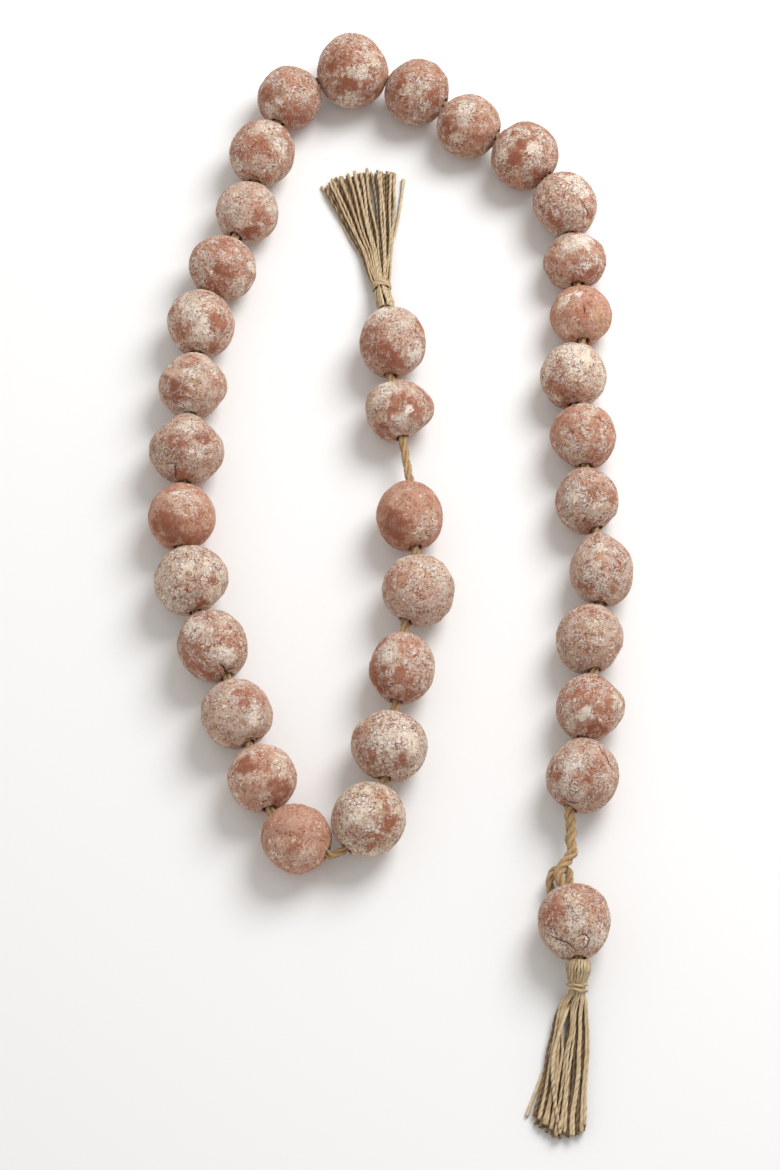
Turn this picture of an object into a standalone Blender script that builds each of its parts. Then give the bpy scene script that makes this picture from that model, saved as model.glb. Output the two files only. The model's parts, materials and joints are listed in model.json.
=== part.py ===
"""A garland of hand-formed clay beads on a jute cord, with a jute tassel at each end.

It lies on a table in an open loop. X runs to the right and Y away from the person looking,
Z is up and the table is Z = 0. Sizes are in millimetres here and become metres in the mesh.
Each bead is built around its own bore, each tassel grows out of its bound head, and the
cord is one tube through all of them.
"""
import math
import random
from collections import namedtuple

import bmesh
import bpy
from mathutils import Vector
from mathutils import noise

MM = 0.001

# The string of beads.
BORE_HEIGHT = 16.5
BORE_RADIUS = 3.0
FOOT_DEPTH = 0.8
BEAD_SIDES = 14
BEAD_BANDS = 8
LUMP = 0.35
LUMPS_ROUND = 1.6
LUMP_SHIFT = Vector((3.7, 0.0, 1.3))
LUMP_START = Vector((0.0, 0.5, 0.0))
FLAT_SPRING = 0.2
FLAT_REACH = 0.3
SWELL_SPREAD = math.radians(24)
VIEW_LEAN = math.radians(24)

# The cord.
CORD_THIN = 2.05
PLIES = 3
CORD_SIDES = 9
PLY_DEPTH = 0.16
LAY_LENGTH = 17.0
LAY_STEP = 1.5
MOUTH_INSET = 0.6
STRAIGHT_SHARE = 0.4

# The binding twine and the tassels.
SEAT = 0.3
WRAP_SIDES = 6
WRAP_STEPS = 12
STRAND_COLUMNS = 10
STRAND_LAYERS = 3
STRAND_STEPS = 4
STRAND_WIDE = 1.7
STRAND_ROOT = 1.35
ROOT_SHARE = 0.78
LAYER_RISE = 2.15
SETTLE_SHARE = 0.45
TIP_UNEVEN = (-2.6, 1.4)
SWAY = 0.2
POCKET_DEPTH = 3.6
POCKET_RADIUS = 2.8
POCKET_SLACK = 0.5
RIDGE = 0.05
PARTING = 0.9
PARTING_REACH = 0.5
STRAY_BOW = 2.0

# How the shapes are worked out: the far end and the halvings of a search for a bead's skin, how
# near the table counts as on it, the piece of a curve that gives its slope, and the sharpest
# bend that is still shaded round.
FAR_OUT = 40.0
HALVINGS = 30
ON_TABLE = 0.002
SLOPE_STEP = 0.05
ROUND_BEND = math.radians(40)

Bead = namedtuple("Bead", "name x y along across high aside")

# x and y place a bead's middle on the table. along is measured down its bore and across
# sideways. aside is how far the cord passes to the left of the straight line to the next bead.
BEADS = (
    Bead("bead_01", 1.5, 138.0, 39.0, 35.0, 36.0, -3.0),
    Bead("bead_02", 5.0, 98.5, 32.0, 37.0, 33.5, 0.0),
    Bead("bead_03", 10.0, 38.5, 37.0, 34.5, 34.5, 1.0),
    Bead("bead_04", 14.5, -3.0, 36.5, 37.5, 36.0, -3.0),
    Bead("bead_05", 6.0, -45.5, 37.5, 33.5, 34.5, 0.0),
    Bead("bead_06", -0.5, -87.0, 35.0, 39.0, 36.0, 2.5),
    Bead("bead_07", -10.5, -126.0, 37.5, 37.0, 36.0, 0.0),
    Bead("bead_08", -46.0, -135.5, 35.5, 34.5, 33.5, 4.5),
    Bead("bead_09", -63.0, -104.0, 34.0, 34.5, 33.5, 0.0),
    Bead("bead_10", -76.5, -70.0, 35.0, 36.5, 34.5, -2.0),
    Bead("bead_11", -89.0, -33.5, 37.5, 35.5, 35.5, 2.5),
    Bead("bead_12", -100.5, 2.5, 35.5, 38.0, 36.0, 3.0),
    Bead("bead_13", -106.0, 38.0, 35.9, 35.0, 34.0, 0.0),
    Bead("bead_14", -104.5, 76.0, 37.5, 39.5, 37.0, 0.0),
    Bead("bead_15", -102.5, 113.5, 35.0, 36.0, 33.5, 0.0),
    Bead("bead_16", -99.0, 149.5, 35.5, 36.0, 35.5, 0.0),
    Bead("bead_17", -88.3, 183.0, 34.0, 36.5, 35.0, 0.0),
    Bead("bead_18", -76.0, 217.5, 34.0, 33.5, 31.5, 0.0),
    Bead("bead_19", -68.5, 252.5, 37.5, 35.0, 35.5, 0.0),
    Bead("bead_20", -54.5, 288.0, 35.0, 35.0, 34.0, 3.0),
    Bead("bead_21", -20.1, 303.6, 38.5, 41.5, 39.0, 3.0),
    Bead("bead_22", 14.5, 291.0, 34.0, 37.5, 35.0, 3.0),
    Bead("bead_23", 42.0, 270.0, 34.0, 35.0, 33.5, 3.0),
    Bead("bead_24", 72.0, 251.0, 35.5, 37.5, 36.0, 2.0),
    Bead("bead_25", 93.0, 221.0, 37.0, 34.5, 34.5, 0.0),
    Bead("bead_26", 97.5, 187.5, 30.5, 34.0, 31.5, 0.0),
    Bead("bead_27", 100.0, 155.0, 32.5, 33.0, 31.5, 3.0),
    Bead("bead_28", 95.0, 119.0, 35.5, 35.0, 33.5, -1.5),
    Bead("bead_29", 99.5, 84.0, 35.0, 34.5, 33.5, 0.5),
    Bead("bead_30", 100.5, 47.5, 35.5, 32.5, 32.5, 1.5),
    Bead("bead_31", 107.0, 8.5, 39.0, 32.5, 34.0, 2.5),
    Bead("bead_32", 100.0, -29.0, 36.0, 34.5, 33.5, 2.0),
    Bead("bead_33", 99.5, -66.5, 35.0, 34.0, 32.5, -1.5),
    Bead("bead_34", 95.0, -103.0, 37.5, 36.5, 35.5, 0.0),
    Bead("bead_35", 89.0, -178.5, 38.0, 35.0, 35.0, 0.0),
)

# Where a maker's hand pressed each bead flat: the way the flat faces in degrees, as seen by
# someone looking down at the garland, and how deep it was pressed in millimetres.
FLATS = {
    "bead_01": ((-50, 1.8), (-130, 0.3)),
    "bead_02": ((50, 1.4), (-52, 4.0), (-150, 2.0)),
    "bead_03": ((45, 0.7), (-140, 0.2)),
    "bead_04": ((-135, 1.4), (-20, 0.7)),
    "bead_05": ((-140, 1.4), (-50, 1.5), (150, 0.6)),
    "bead_06": ((60, 1.0), (-135, 1.2), (130, 0.9)),
    "bead_07": ((130, 0.8), (-140, 1.4)),
    "bead_08": ((-135, 1.5), (150, 0.7), (-60, 0.6)),
    "bead_09": ((-40, 0.6), (-150, 0.5)),
    "bead_10": ((15, 0.7), (-140, 1.4), (45, 0.8)),
    "bead_11": ((-135, 1.0), (-45, 0.3)),
    "bead_12": ((-45, 2.2), (130, 0.9), (50, 0.7)),
    "bead_13": ((-45, 1.1), (-130, 0.8)),
    "bead_14": ((135, 3.2), (45, 3.2), (-135, 1.2), (-45, 1.0)),
    "bead_15": ((140, 2.0), (45, 1.6), (-40, 1.6), (-135, 1.0)),
    "bead_16": ((40, 1.2), (-150, 1.5)),
    "bead_17": ((-150, 1.4), (50, 1.0)),
    "bead_18": ((-90, 1.4), (-160, 0.8)),
    "bead_19": ((-145, 1.5), (-60, 0.8)),
    "bead_20": ((135, 0.6), (35, 0.7)),
    "bead_21": ((35, 2.0), (150, 0.9), (-50, 0.8)),
    "bead_22": ((0, 0.7), (140, 0.6), (45, 0.5)),
    "bead_23": ((-35, 0.5), (60, 0.5)),
    "bead_24": ((-145, 0.8), (120, 0.7), (40, 0.6)),
    "bead_25": ((-140, 2.8), (-30, 1.3)),
    "bead_26": ((-145, 0.2), (-45, 0.4), (135, 1.2)),
    "bead_27": ((-45, 1.5), (-140, 1.0)),
    "bead_28": ((-140, 1.0), (-50, 1.2), (140, 1.0)),
    "bead_29": ((-130, 2.4), (0, 0.6)),
    "bead_30": ((-45, 2.4), (135, 1.0)),
    "bead_31": ((150, 1.8), (55, 1.8), (-140, 1.4)),
    "bead_32": ((140, 1.0), (-35, 1.6), (40, 0.8)),
    "bead_33": ((50, 1.8), (-45, 2.6), (-130, 0.3)),
    "bead_34": ((135, 1.5), (50, 0.8), (-130, 1.2)),
    "bead_35": ((-130, 0.8),),
}

# Where the clay stands proud instead, given in the same way.
SWELLS = {
    "bead_02": ((-12, 1.2), (140, 1.6)),
    "bead_04": ((-48, 0.9),),
    "bead_06": ((-62, 1.0),),
    "bead_08": ((-95, 0.7),),
    "bead_10": ((-5, 0.9),),
    "bead_12": ((15, 0.9), (-120, 1.0)),
    "bead_14": ((-160, 0.8), (-18, 0.8)),
    "bead_15": ((0, 0.5), (180, 0.5)),
    "bead_16": ((-50, 1.2),),
    "bead_17": ((-50, 0.8), (-95, 0.8)),
    "bead_18": ((-35, 0.8),),
    "bead_21": ((92, 0.9),),
    "bead_24": ((90, 0.8),),
    "bead_31": ((95, 0.8), (-40, 0.8)),
    "bead_32": ((-125, 0.7),),
    "bead_33": ((3, 1.3),),
    "bead_35": ((43, 2.4),),
}

Station = namedtuple("Station", "x y z wide thick round")
Tip = namedtuple("Tip", "x y")
Tassel = namedtuple("Tassel", "name stations neck twine turns left middle right stray parting seed")

# The stations run from the face that meets the bead to the end where the strands part. Left and
# right are as the skirt is seen with its tips pointing away; stray is one strand that stands off
# from the rest, and parting is how far across the skirt the strands divide.
TASSEL_A = Tassel(
    "tassel_a",
    (
        Station(-2.3, 159.2, 16.2, 8.6, 8.4, 1.0),
        Station(-2.5, 161.9, 15.5, 9.9, 8.8, 1.0),
        Station(-3.4, 167.6, 12.2, 9.2, 8.6, 1.0),
        Station(-3.9, 171.8, 10.0, 9.2, 8.0, 1.0),
        Station(-4.2, 174.0, 8.9, 8.2, 6.8, 1.0),
        Station(-4.6, 178.6, 7.2, 8.4, 6.6, 1.0),
        Station(-4.9, 180.6, 6.6, 11.6, 7.2, 0.9),
        Station(-5.8, 186.7, 5.2, 13.4, 6.9, 0.8),
        Station(-6.6, 193.5, 4.2, 15.6, 6.6, 0.7),
        Station(-7.4, 200.0, 3.6, 18.0, 6.4, 0.5),
    ),
    neck=(4, 5), twine=1.3, turns=2.25,
    left=Tip(-37.0, 240.6), middle=Tip(-15.8, 249.4), right=Tip(2.9, 247.6), stray=Tip(7.2, 246.0),
    parting=0.62, seed=11,
)
TASSEL_B = Tassel(
    "tassel_b",
    (
        Station(90.9, -198.9, 16.2, 10.2, 8.6, 1.0),
        Station(90.8, -200.4, 15.9, 12.7, 10.2, 1.0),
        Station(90.6, -203.4, 13.2, 11.2, 9.4, 1.0),
        Station(90.4, -205.8, 10.6, 9.4, 8.2, 1.0),
        Station(90.3, -207.0, 9.8, 8.2, 7.2, 1.0),
        Station(90.1, -212.0, 7.2, 8.4, 6.8, 1.0),
        Station(89.6, -214.3, 6.5, 12.4, 7.2, 0.9),
        Station(88.1, -218.6, 5.2, 15.4, 7.0, 0.8),
        Station(87.2, -224.5, 4.2, 17.6, 6.8, 0.7),
        Station(86.7, -230.7, 3.7, 19.0, 6.6, 0.5),
    ),
    neck=(4, 5), twine=1.8, turns=2.25,
    left=Tip(68.0, -272.5), middle=Tip(80.3, -280.8), right=Tip(92.6, -277.4), stray=Tip(65.2, -270.6),
    parting=0.36, seed=23,
)

# Where the cord first enters the string and last leaves it.
Way = namedtuple("Way", "x y z")
FIRST_IN = Way(-3.0, 157.5, BORE_HEIGHT)
LAST_OUT = Way(91.0, -197.0, BORE_HEIGHT)

# Bare stretches of cord that sag or bend: where it leaves one bead, the middle points of its
# curve, where it enters the next, how stout it is there and how far it runs straight on from a bead.
Bare = namedtuple("Bare", "leaves through enters radius straight")
BARE = {
    "bead_02": Bare(
        Way(6.5, 82.5, BORE_HEIGHT), (Way(8.5, 70.0, 14.8),), Way(10.5, 57.0, BORE_HEIGHT),
        radius=2.2, straight=3.0,
    ),
    "bead_07": Bare(
        Way(-20.9, -138.8, BORE_HEIGHT),
        (Way(-23.4, -141.9, 16.1), Way(-25.8, -143.0, 15.8), Way(-28.6, -144.1, 16.1)),
        Way(-31.2, -142.8, BORE_HEIGHT), radius=2.1, straight=1.3,
    ),
    "bead_34": Bare(
        Way(88.2, -120.5, BORE_HEIGHT),
        (
            Way(88.5, -126.0, 15.0), Way(88.9, -130.9, 13.4), Way(88.4, -135.9, 12.3),
            Way(89.6, -140.4, 12.2), Way(86.9, -145.0, 12.6), Way(83.4, -150.0, 13.4),
            Way(82.3, -154.8, 14.7),
        ),
        Way(84.2, -160.0, BORE_HEIGHT), radius=2.8, straight=2.4,
    ),
}

# The knot's own centre line: it starts low beside the last bead's far left shoulder, loops up
# and to the right under the cord, and turns down again towards that bead.
KNOT_RADIUS = 2.2
KNOT_SIDES = 9
KNOT_STEPS = 26
KNOT_WAYS = (
    Way(79.0, -162.6, 7.6), Way(78.2, -156.8, 8.3), Way(78.6, -152.4, 8.5), Way(80.6, -149.4, 8.5),
    Way(83.8, -147.8, 8.15), Way(86.6, -148.6, 8.15), Way(87.9, -151.6, 8.5), Way(87.5, -155.2, 9.0),
    Way(87.0, -158.4, 9.5),
)

COLOURS = {
    "clay": (0.55, 0.33, 0.26),
    "jute": (0.50, 0.37, 0.22),
    "twine": (0.46, 0.34, 0.20),
}


def remove_all():
    """Clear the scene of whatever it starts with."""
    for thing in list(bpy.data.objects):
        bpy.data.objects.remove(thing, do_unlink=True)


def material(name, colour):
    """A plain material of its own for one piece."""
    made = bpy.data.materials.new(name)
    made.use_nodes = True
    shader = made.node_tree.nodes["Principled BSDF"]
    shader.inputs["Base Color"].default_value = (*colour, 1.0)
    shader.inputs["Roughness"].default_value = 0.9
    return made


def add_object(name, points, faces, origin, colour):
    """Make one closed object from points in millimetres, standing on an origin of its own."""
    mesh = bpy.data.meshes.new(name)
    mesh.from_pydata([tuple((p - origin) * MM) for p in points], [], faces)
    mesh.validate()
    shape = bmesh.new()
    shape.from_mesh(mesh)
    bmesh.ops.recalc_face_normals(shape, faces=shape.faces[:])
    shape.to_mesh(mesh)
    shape.free()
    mesh.shade_smooth()
    mesh.set_sharp_from_angle(angle=ROUND_BEND)
    mesh.materials.append(material(name + "_finish", colour))
    thing = bpy.data.objects.new(name, mesh)
    thing.location = origin * MM
    thing.parent = GARLAND
    bpy.context.scene.collection.objects.link(thing)
    return thing


def seen_direction(facing):
    """The way that a flat faces, from its angle as someone looking down sees it."""
    angle = math.radians(facing)
    return Vector((
        math.cos(angle),
        math.sin(angle) * math.cos(VIEW_LEAN),
        math.sin(angle) * math.sin(VIEW_LEAN),
    ))


def bead_reach(bead, frame, way):
    """How far the clay reaches from the bead's middle along the unit vector way."""
    along, left = way.dot(frame.along), way.dot(frame.left)
    reach = 1.0 / math.sqrt(
        (2 * along / bead.along) ** 2 + (2 * left / bead.across) ** 2 + (2 * way.z / bead.high) ** 2
    )
    number = int(bead.name[-2:])
    reach += LUMP * noise.noise(way * LUMPS_ROUND + LUMP_START + LUMP_SHIFT * number)
    for facing, proud in SWELLS.get(bead.name, ()):
        apart = way.angle(seen_direction(facing))
        reach += proud * math.exp(-((apart / SWELL_SPREAD) ** 2))
    for facing, depth in FLATS[bead.name]:
        facing_way = seen_direction(facing)
        towards = way.dot(facing_way)
        if towards < FLAT_REACH:
            continue
        flat = (bead_support(bead, frame, facing_way) - depth) / towards
        if reach > flat:
            reach = flat + FLAT_SPRING * (reach - flat)
    return reach


def bead_support(bead, frame, way):
    """How far the bead's plain rounded body stands out in one direction."""
    along, left = way.dot(frame.along), way.dot(frame.left)
    return 0.5 * math.sqrt(
        (along * bead.along) ** 2 + (left * bead.across) ** 2 + (way.z * bead.high) ** 2
    )


def find_skin(bead, frame, start, way):
    """Walk from start along way to the bead's skin, by halving the step."""
    near, far = 0.0, FAR_OUT
    for _ in range(HALVINGS):
        halfway = (near + far) / 2
        spot = start + way * halfway - frame.middle
        if spot.length < bead_reach(bead, frame, spot.normalized()):
            near = halfway
        else:
            far = halfway
    return start + way * near


def bead_middle(bead):
    """The middle of a bead whose foot is cut off level with the table."""
    return Vector((bead.x, bead.y, bead.high / 2 - FOOT_DEPTH))


def meeting_places():
    """Where the cord enters and leaves each bead, as a pair of places for every bead."""
    pairs, entered = [], Vector(FIRST_IN)
    for bead, following in zip(BEADS, BEADS[1:]):
        if bead.name in BARE:
            leaves, enters = Vector(BARE[bead.name].leaves), Vector(BARE[bead.name].enters)
        else:
            here = Vector((bead.x, bead.y, BORE_HEIGHT))
            there = Vector((following.x, following.y, BORE_HEIGHT))
            ahead = (there - here).normalized()
            left = Vector((-ahead.y, ahead.x, 0.0))
            share = bead.along / (bead.along + following.along)
            leaves = enters = here.lerp(there, share) + left * bead.aside
        pairs.append((entered, leaves))
        entered = enters
    pairs.append((entered, Vector(LAST_OUT)))
    return pairs


Frame = namedtuple("Frame", "middle on_bore along left up")


def bead_frame(bead, pair):
    """The bead's middle, the nearest point on its bore, and the bore's own three directions."""
    entered, leaves = pair
    along = (leaves - entered).normalized()
    left = Vector((-along.y, along.x, 0.0))
    middle = bead_middle(bead)
    on_bore = entered + along * (middle - entered).dot(along)
    on_bore.z = BORE_HEIGHT
    return Frame(middle, on_bore, along, left, Vector((0.0, 0.0, 1.0)))


FRAMES = {bead.name: bead_frame(bead, pair) for bead, pair in zip(BEADS, meeting_places())}


def bore_ends(bead):
    """Where the middle of the bore comes out of the clay, at the way in and the way out."""
    frame = FRAMES[bead.name]
    return (
        find_skin(bead, frame, frame.on_bore, -frame.along),
        find_skin(bead, frame, frame.on_bore, frame.along),
    )


def make_bead(bead):
    """One pierced bead: rings of skin from one rim of its bore to the other, and the bore."""
    frame = FRAMES[bead.name]
    rings = [[] for _ in range(BEAD_BANDS + 1)]
    for step in range(BEAD_SIDES):
        turn = 2 * math.pi * (step + 0.5) / BEAD_SIDES
        outward = frame.left * math.cos(turn) + frame.up * math.sin(turn)
        rim_start = frame.on_bore + outward * BORE_RADIUS
        first = find_skin(bead, frame, rim_start, -frame.along)
        last = find_skin(bead, frame, rim_start, frame.along)
        first_angle = math.atan2(BORE_RADIUS, (first - frame.on_bore).dot(-frame.along))
        last_angle = math.atan2(BORE_RADIUS, (last - frame.on_bore).dot(frame.along))
        rings[0].append(first)
        for band in range(1, BEAD_BANDS):
            share = band / BEAD_BANDS
            angle = first_angle + (math.pi - last_angle - first_angle) * share
            way = outward * math.sin(angle) - frame.along * math.cos(angle)
            rings[band].append(find_skin(bead, frame, frame.on_bore, way))
        rings[BEAD_BANDS].append(last)
    points = [p for ring in rings for p in ring]
    faces = []
    for band in range(BEAD_BANDS):
        for step in range(BEAD_SIDES):
            after = (step + 1) % BEAD_SIDES
            low, high = band * BEAD_SIDES, (band + 1) * BEAD_SIDES
            faces.append((low + step, low + after, high + after, high + step))
    top = BEAD_BANDS * BEAD_SIDES
    for step in range(BEAD_SIDES):
        after = (step + 1) % BEAD_SIDES
        faces.append((top + step, top + after, after, step))
    thing = add_object(bead.name, points, faces, frame.middle, COLOURS["clay"])
    cut_foot(thing)


def cut_foot(thing):
    """Slice the underside off level with the table, so the piece stands on a real flat."""
    table = -thing.location.z
    shape = bmesh.new()
    shape.from_mesh(thing.data)
    everything = shape.verts[:] + shape.edges[:] + shape.faces[:]
    cut = bmesh.ops.bisect_plane(
        shape, geom=everything, dist=ON_TABLE * MM / 2, plane_co=(0, 0, table), plane_no=(0, 0, -1),
        clear_outer=True,
    )
    edges = [piece for piece in cut["geom_cut"] if isinstance(piece, bmesh.types.BMEdge)]
    bmesh.ops.contextual_create(shape, geom=edges)
    for vert in shape.verts:
        if abs(vert.co.z - table) < ON_TABLE * MM:
            vert.co.z = table
    bmesh.ops.recalc_face_normals(shape, faces=shape.faces[:])
    shape.to_mesh(thing.data)
    shape.free()


def smooth_route(ways, step):
    """A smooth line through the given points, as places about one step apart."""
    out = []
    for k in range(len(ways) - 1):
        here, there = ways[k], ways[k + 1]
        before = ways[k - 1] if k > 0 else here - (there - here)
        after = ways[k + 2] if k + 2 < len(ways) else there + (there - here)
        pieces = max(1, round((there - here).length / step))
        for piece in range(pieces):
            t = piece / pieces
            out.append(0.5 * (
                2 * here + (there - before) * t
                + (2 * before - 5 * here + 4 * there - after) * t * t
                + (3 * here - before - 3 * there + after) * t ** 3
            ))
    out.append(ways[-1].copy())
    return out


def pocket_places(tassel):
    """The mouth of a tassel's pocket, and how far the cord's end reaches into it."""
    mouth, beyond = (Vector((s.x, s.y, s.z)) for s in tassel.stations[:2])
    return mouth, mouth + (beyond - mouth).normalized() * (POCKET_DEPTH - POCKET_SLACK)


def cord_route():
    """The cord's centre line, and for each point its radius where it lies bare, or None."""
    ends = {bead.name: bore_ends(bead) for bead in BEADS}
    mouth, inside = pocket_places(TASSEL_A)
    route = [inside, mouth]
    bare = [None, None]
    for k, bead in enumerate(BEADS):
        way_in, way_out = ends[bead.name]
        axis = (way_out - way_in).normalized()
        route += [way_in + axis * MOUTH_INSET, way_out - axis * MOUTH_INSET]
        bare += [None, None]
        if k + 1 == len(BEADS):
            break
        following = BEADS[k + 1]
        next_in, next_out = ends[following.name]
        next_axis = (next_out - next_in).normalized()
        if bead.name in BARE:
            stretch = BARE[bead.name]
            ways = [way_out - axis * MOUTH_INSET]
            ways += [Vector(w) for w in stretch.through]
            ways.append(next_in + next_axis * MOUTH_INSET)
            line = eased_route(ways, axis, next_axis, stretch.straight)
            route += line[1:-1]
            bare += [stretch.radius] * (len(line) - 2)
    mouth, inside = pocket_places(TASSEL_B)
    route += [mouth, inside]
    bare += [None, None]
    return route, bare


def eased_route(ways, leave, arrive, straight):
    """A smooth line that leaves the first point and reaches the last in the given directions."""
    reach_out = min(straight, (ways[1] - ways[0]).length * STRAIGHT_SHARE)
    reach_in = min(straight, (ways[-1] - ways[-2]).length * STRAIGHT_SHARE)
    full = [ways[0], ways[0] + leave * reach_out] + list(ways[1:-1])
    full += [ways[-1] - arrive * reach_in, ways[-1]]
    return smooth_route(full, LAY_STEP)


def tube(name, route, sides, radius_at, colour):
    """A closed tube along a line. radius_at gives the radius from ring and side numbers."""
    count = len(route)
    tangents = []
    for k in range(count):
        before, after = route[max(k - 1, 0)], route[min(k + 1, count - 1)]
        tangents.append((after - before).normalized())
    side_way = tangents[0].cross(Vector((0, 0, 1))).normalized()
    points = []
    for k, place in enumerate(route):
        side_way = (side_way - tangents[k] * side_way.dot(tangents[k])).normalized()
        other_way = tangents[k].cross(side_way)
        for side in range(sides):
            turn = 2 * math.pi * side / sides
            reach = radius_at(k, side)
            points.append(place + side_way * math.cos(turn) * reach + other_way * math.sin(turn) * reach)
    faces = [tuple(range(sides))[::-1]]
    for k in range(count - 1):
        for side in range(sides):
            after = (side + 1) % sides
            low, high = k * sides, (k + 1) * sides
            faces.append((low + side, low + after, high + after, high + side))
    faces.append(tuple((count - 1) * sides + side for side in range(sides)))
    add_object(name, points, faces, route[0], colour)


def running_length(route):
    """How far along the line each of its points lies."""
    total, out = 0.0, [0.0]
    for here, there in zip(route, route[1:]):
        total += (there - here).length
        out.append(total)
    return out


def make_cord():
    """The one cord: thin and plain inside the beads, laid up in raised plies where it is bare."""
    route, bare = cord_route()
    lengths = running_length(route)

    def radius_at(k, side):
        if bare[k] is None:
            return CORD_THIN
        turn = 2 * math.pi * side / CORD_SIDES
        phase = PLIES * turn - 2 * math.pi * PLIES * lengths[k] / LAY_LENGTH
        return bare[k] * (1 - PLY_DEPTH * (0.5 - 0.5 * math.cos(phase)))

    tube("cord", route, CORD_SIDES, radius_at, COLOURS["jute"])


def make_knot():
    """The hitch tied over the bare stretch above the last bead."""
    ways = [Vector(w) for w in KNOT_WAYS]
    rough = smooth_route(ways, 1.0)
    lengths = running_length(rough)
    route = []
    for k in range(KNOT_STEPS + 1):
        wanted = lengths[-1] * k / KNOT_STEPS
        spot = max(i for i, value in enumerate(lengths) if value <= wanted + 1e-9)
        if spot + 1 >= len(rough):
            route.append(rough[-1].copy())
        else:
            share = (wanted - lengths[spot]) / (lengths[spot + 1] - lengths[spot])
            route.append(rough[spot].lerp(rough[spot + 1], share))
    steps = running_length(route)

    def radius_at(k, side):
        turn = 2 * math.pi * side / KNOT_SIDES
        phase = PLIES * turn - 2 * math.pi * PLIES * steps[k] / LAY_LENGTH
        return KNOT_RADIUS * (1 - PLY_DEPTH * (0.5 - 0.5 * math.cos(phase)))

    tube("knot", route, KNOT_SIDES, radius_at, COLOURS["jute"])


def station_frames(stations):
    """For each station its middle and the sideways and upward directions of its ring."""
    middles = [Vector((s.x, s.y, s.z)) for s in stations]
    frames = []
    for k, middle in enumerate(middles):
        ahead = middles[min(k + 1, len(middles) - 1)] - middles[max(k - 1, 0)]
        ahead.normalize()
        side = ahead.cross(Vector((0, 0, 1))).normalized()
        up = side.cross(ahead).normalized()
        frames.append((middle, side, up, ahead))
    return frames


def rounded(u, w, amount):
    """Move a place on the square from -1 to 1 towards the circle inside it."""
    round_u = u * math.sqrt(1 - w * w / 2)
    round_w = w * math.sqrt(1 - u * u / 2)
    return u + (round_u - u) * amount, w + (round_w - w) * amount


def rim_places():
    """The places round the edge of the strand grid, as columns and rows, in order."""
    places = [(c, 0) for c in range(STRAND_COLUMNS)]
    places += [(STRAND_COLUMNS, r) for r in range(STRAND_LAYERS)]
    places += [(c, STRAND_LAYERS) for c in range(STRAND_COLUMNS, 0, -1)]
    places += [(0, r) for r in range(STRAND_LAYERS, 0, -1)]
    return places


def grid_place(column, row, amount):
    """A grid crossing as a place on the unit square, rounded by amount."""
    return rounded(2 * column / STRAND_COLUMNS - 1, 2 * row / STRAND_LAYERS - 1, amount)


def bezier(first, handle, last, t):
    """A point on the curve from first to last that leans towards handle."""
    return first * (1 - t) ** 2 + handle * (2 * t * (1 - t)) + last * t * t


def tip_place(tassel, share):
    """Where a strand ends, by its share of the way from the left edge to the right."""
    left, middle, right = (Vector((t.x, t.y, 0.0)) for t in (tassel.left, tassel.middle, tassel.right))
    return (
        left * (1 - share) * (1 - 2 * share) + middle * (4 * share * (1 - share))
        + right * share * (2 * share - 1)
    )


def make_tassel(tassel):
    """A bound head with a pocket for the cord, and strands that grow out of its far face."""
    frames = station_frames(tassel.stations)
    places = rim_places()
    rim = len(places)
    points, faces = [], []

    def add_ring(frame, wide, thick, amount, ridged):
        middle, side, up, _ = frame
        numbers = []
        for k, (column, row) in enumerate(places):
            u, w = grid_place(column, row, amount)
            shrink = 1 - RIDGE if ridged and k % 2 else 1.0
            numbers.append(len(points))
            points.append(middle + side * (u * wide / 2 * shrink) + up * (w * thick / 2 * shrink))
        return numbers

    def join(one, two):
        for k in range(rim):
            after = (k + 1) % rim
            faces.append((one[k], one[after], two[after], two[k]))

    middle, side, up, ahead = frames[0]
    floor_frame = (middle + ahead * POCKET_DEPTH, side, up, ahead)
    bottom = add_ring(floor_frame, 2 * POCKET_RADIUS, 2 * POCKET_RADIUS, 1.0, False)
    faces.append(tuple(bottom))
    mouth = add_ring(frames[0], 2 * POCKET_RADIUS, 2 * POCKET_RADIUS, 1.0, False)
    join(bottom, mouth)
    ring = mouth
    for k, station in enumerate(tassel.stations):
        ridged = 0 < k < len(tassel.stations) - 1
        following = add_ring(frames[k], station.wide, station.thick, station.round, ridged)
        join(ring, following)
        ring = following

    last = tassel.stations[-1]
    cap_middle, cap_side, cap_up, cap_ahead = frames[-1]
    crossing = {place: ring[k] for k, place in enumerate(places)}

    def cap_point(column, row):
        u, w = grid_place(column, row, last.round)
        return cap_middle + cap_side * (u * last.wide / 2) + cap_up * (w * last.thick / 2)

    for column in range(STRAND_COLUMNS + 1):
        for row in range(STRAND_LAYERS + 1):
            if (column, row) not in crossing:
                crossing[(column, row)] = len(points)
                points.append(cap_point(column, row))

    rng = random.Random(tassel.seed)
    for column in range(STRAND_COLUMNS):
        for row in range(STRAND_LAYERS):
            corners = [crossing[(column, row)], crossing[(column + 1, row)],
                       crossing[(column + 1, row + 1)], crossing[(column, row + 1)]]
            centre = sum((points[c] for c in corners), Vector()) / 4
            inset = []
            for corner in corners:
                inset.append(len(points))
                points.append(centre + (points[corner] - centre) * ROOT_SHARE)
            for k in range(4):
                after = (k + 1) % 4
                faces.append((corners[k], corners[after], inset[after], inset[k]))
            grow_strand(tassel, points, faces, inset, centre, column, row, rng)
    add_object(tassel.name, points, faces, frames[0][0], COLOURS["jute"])


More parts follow.
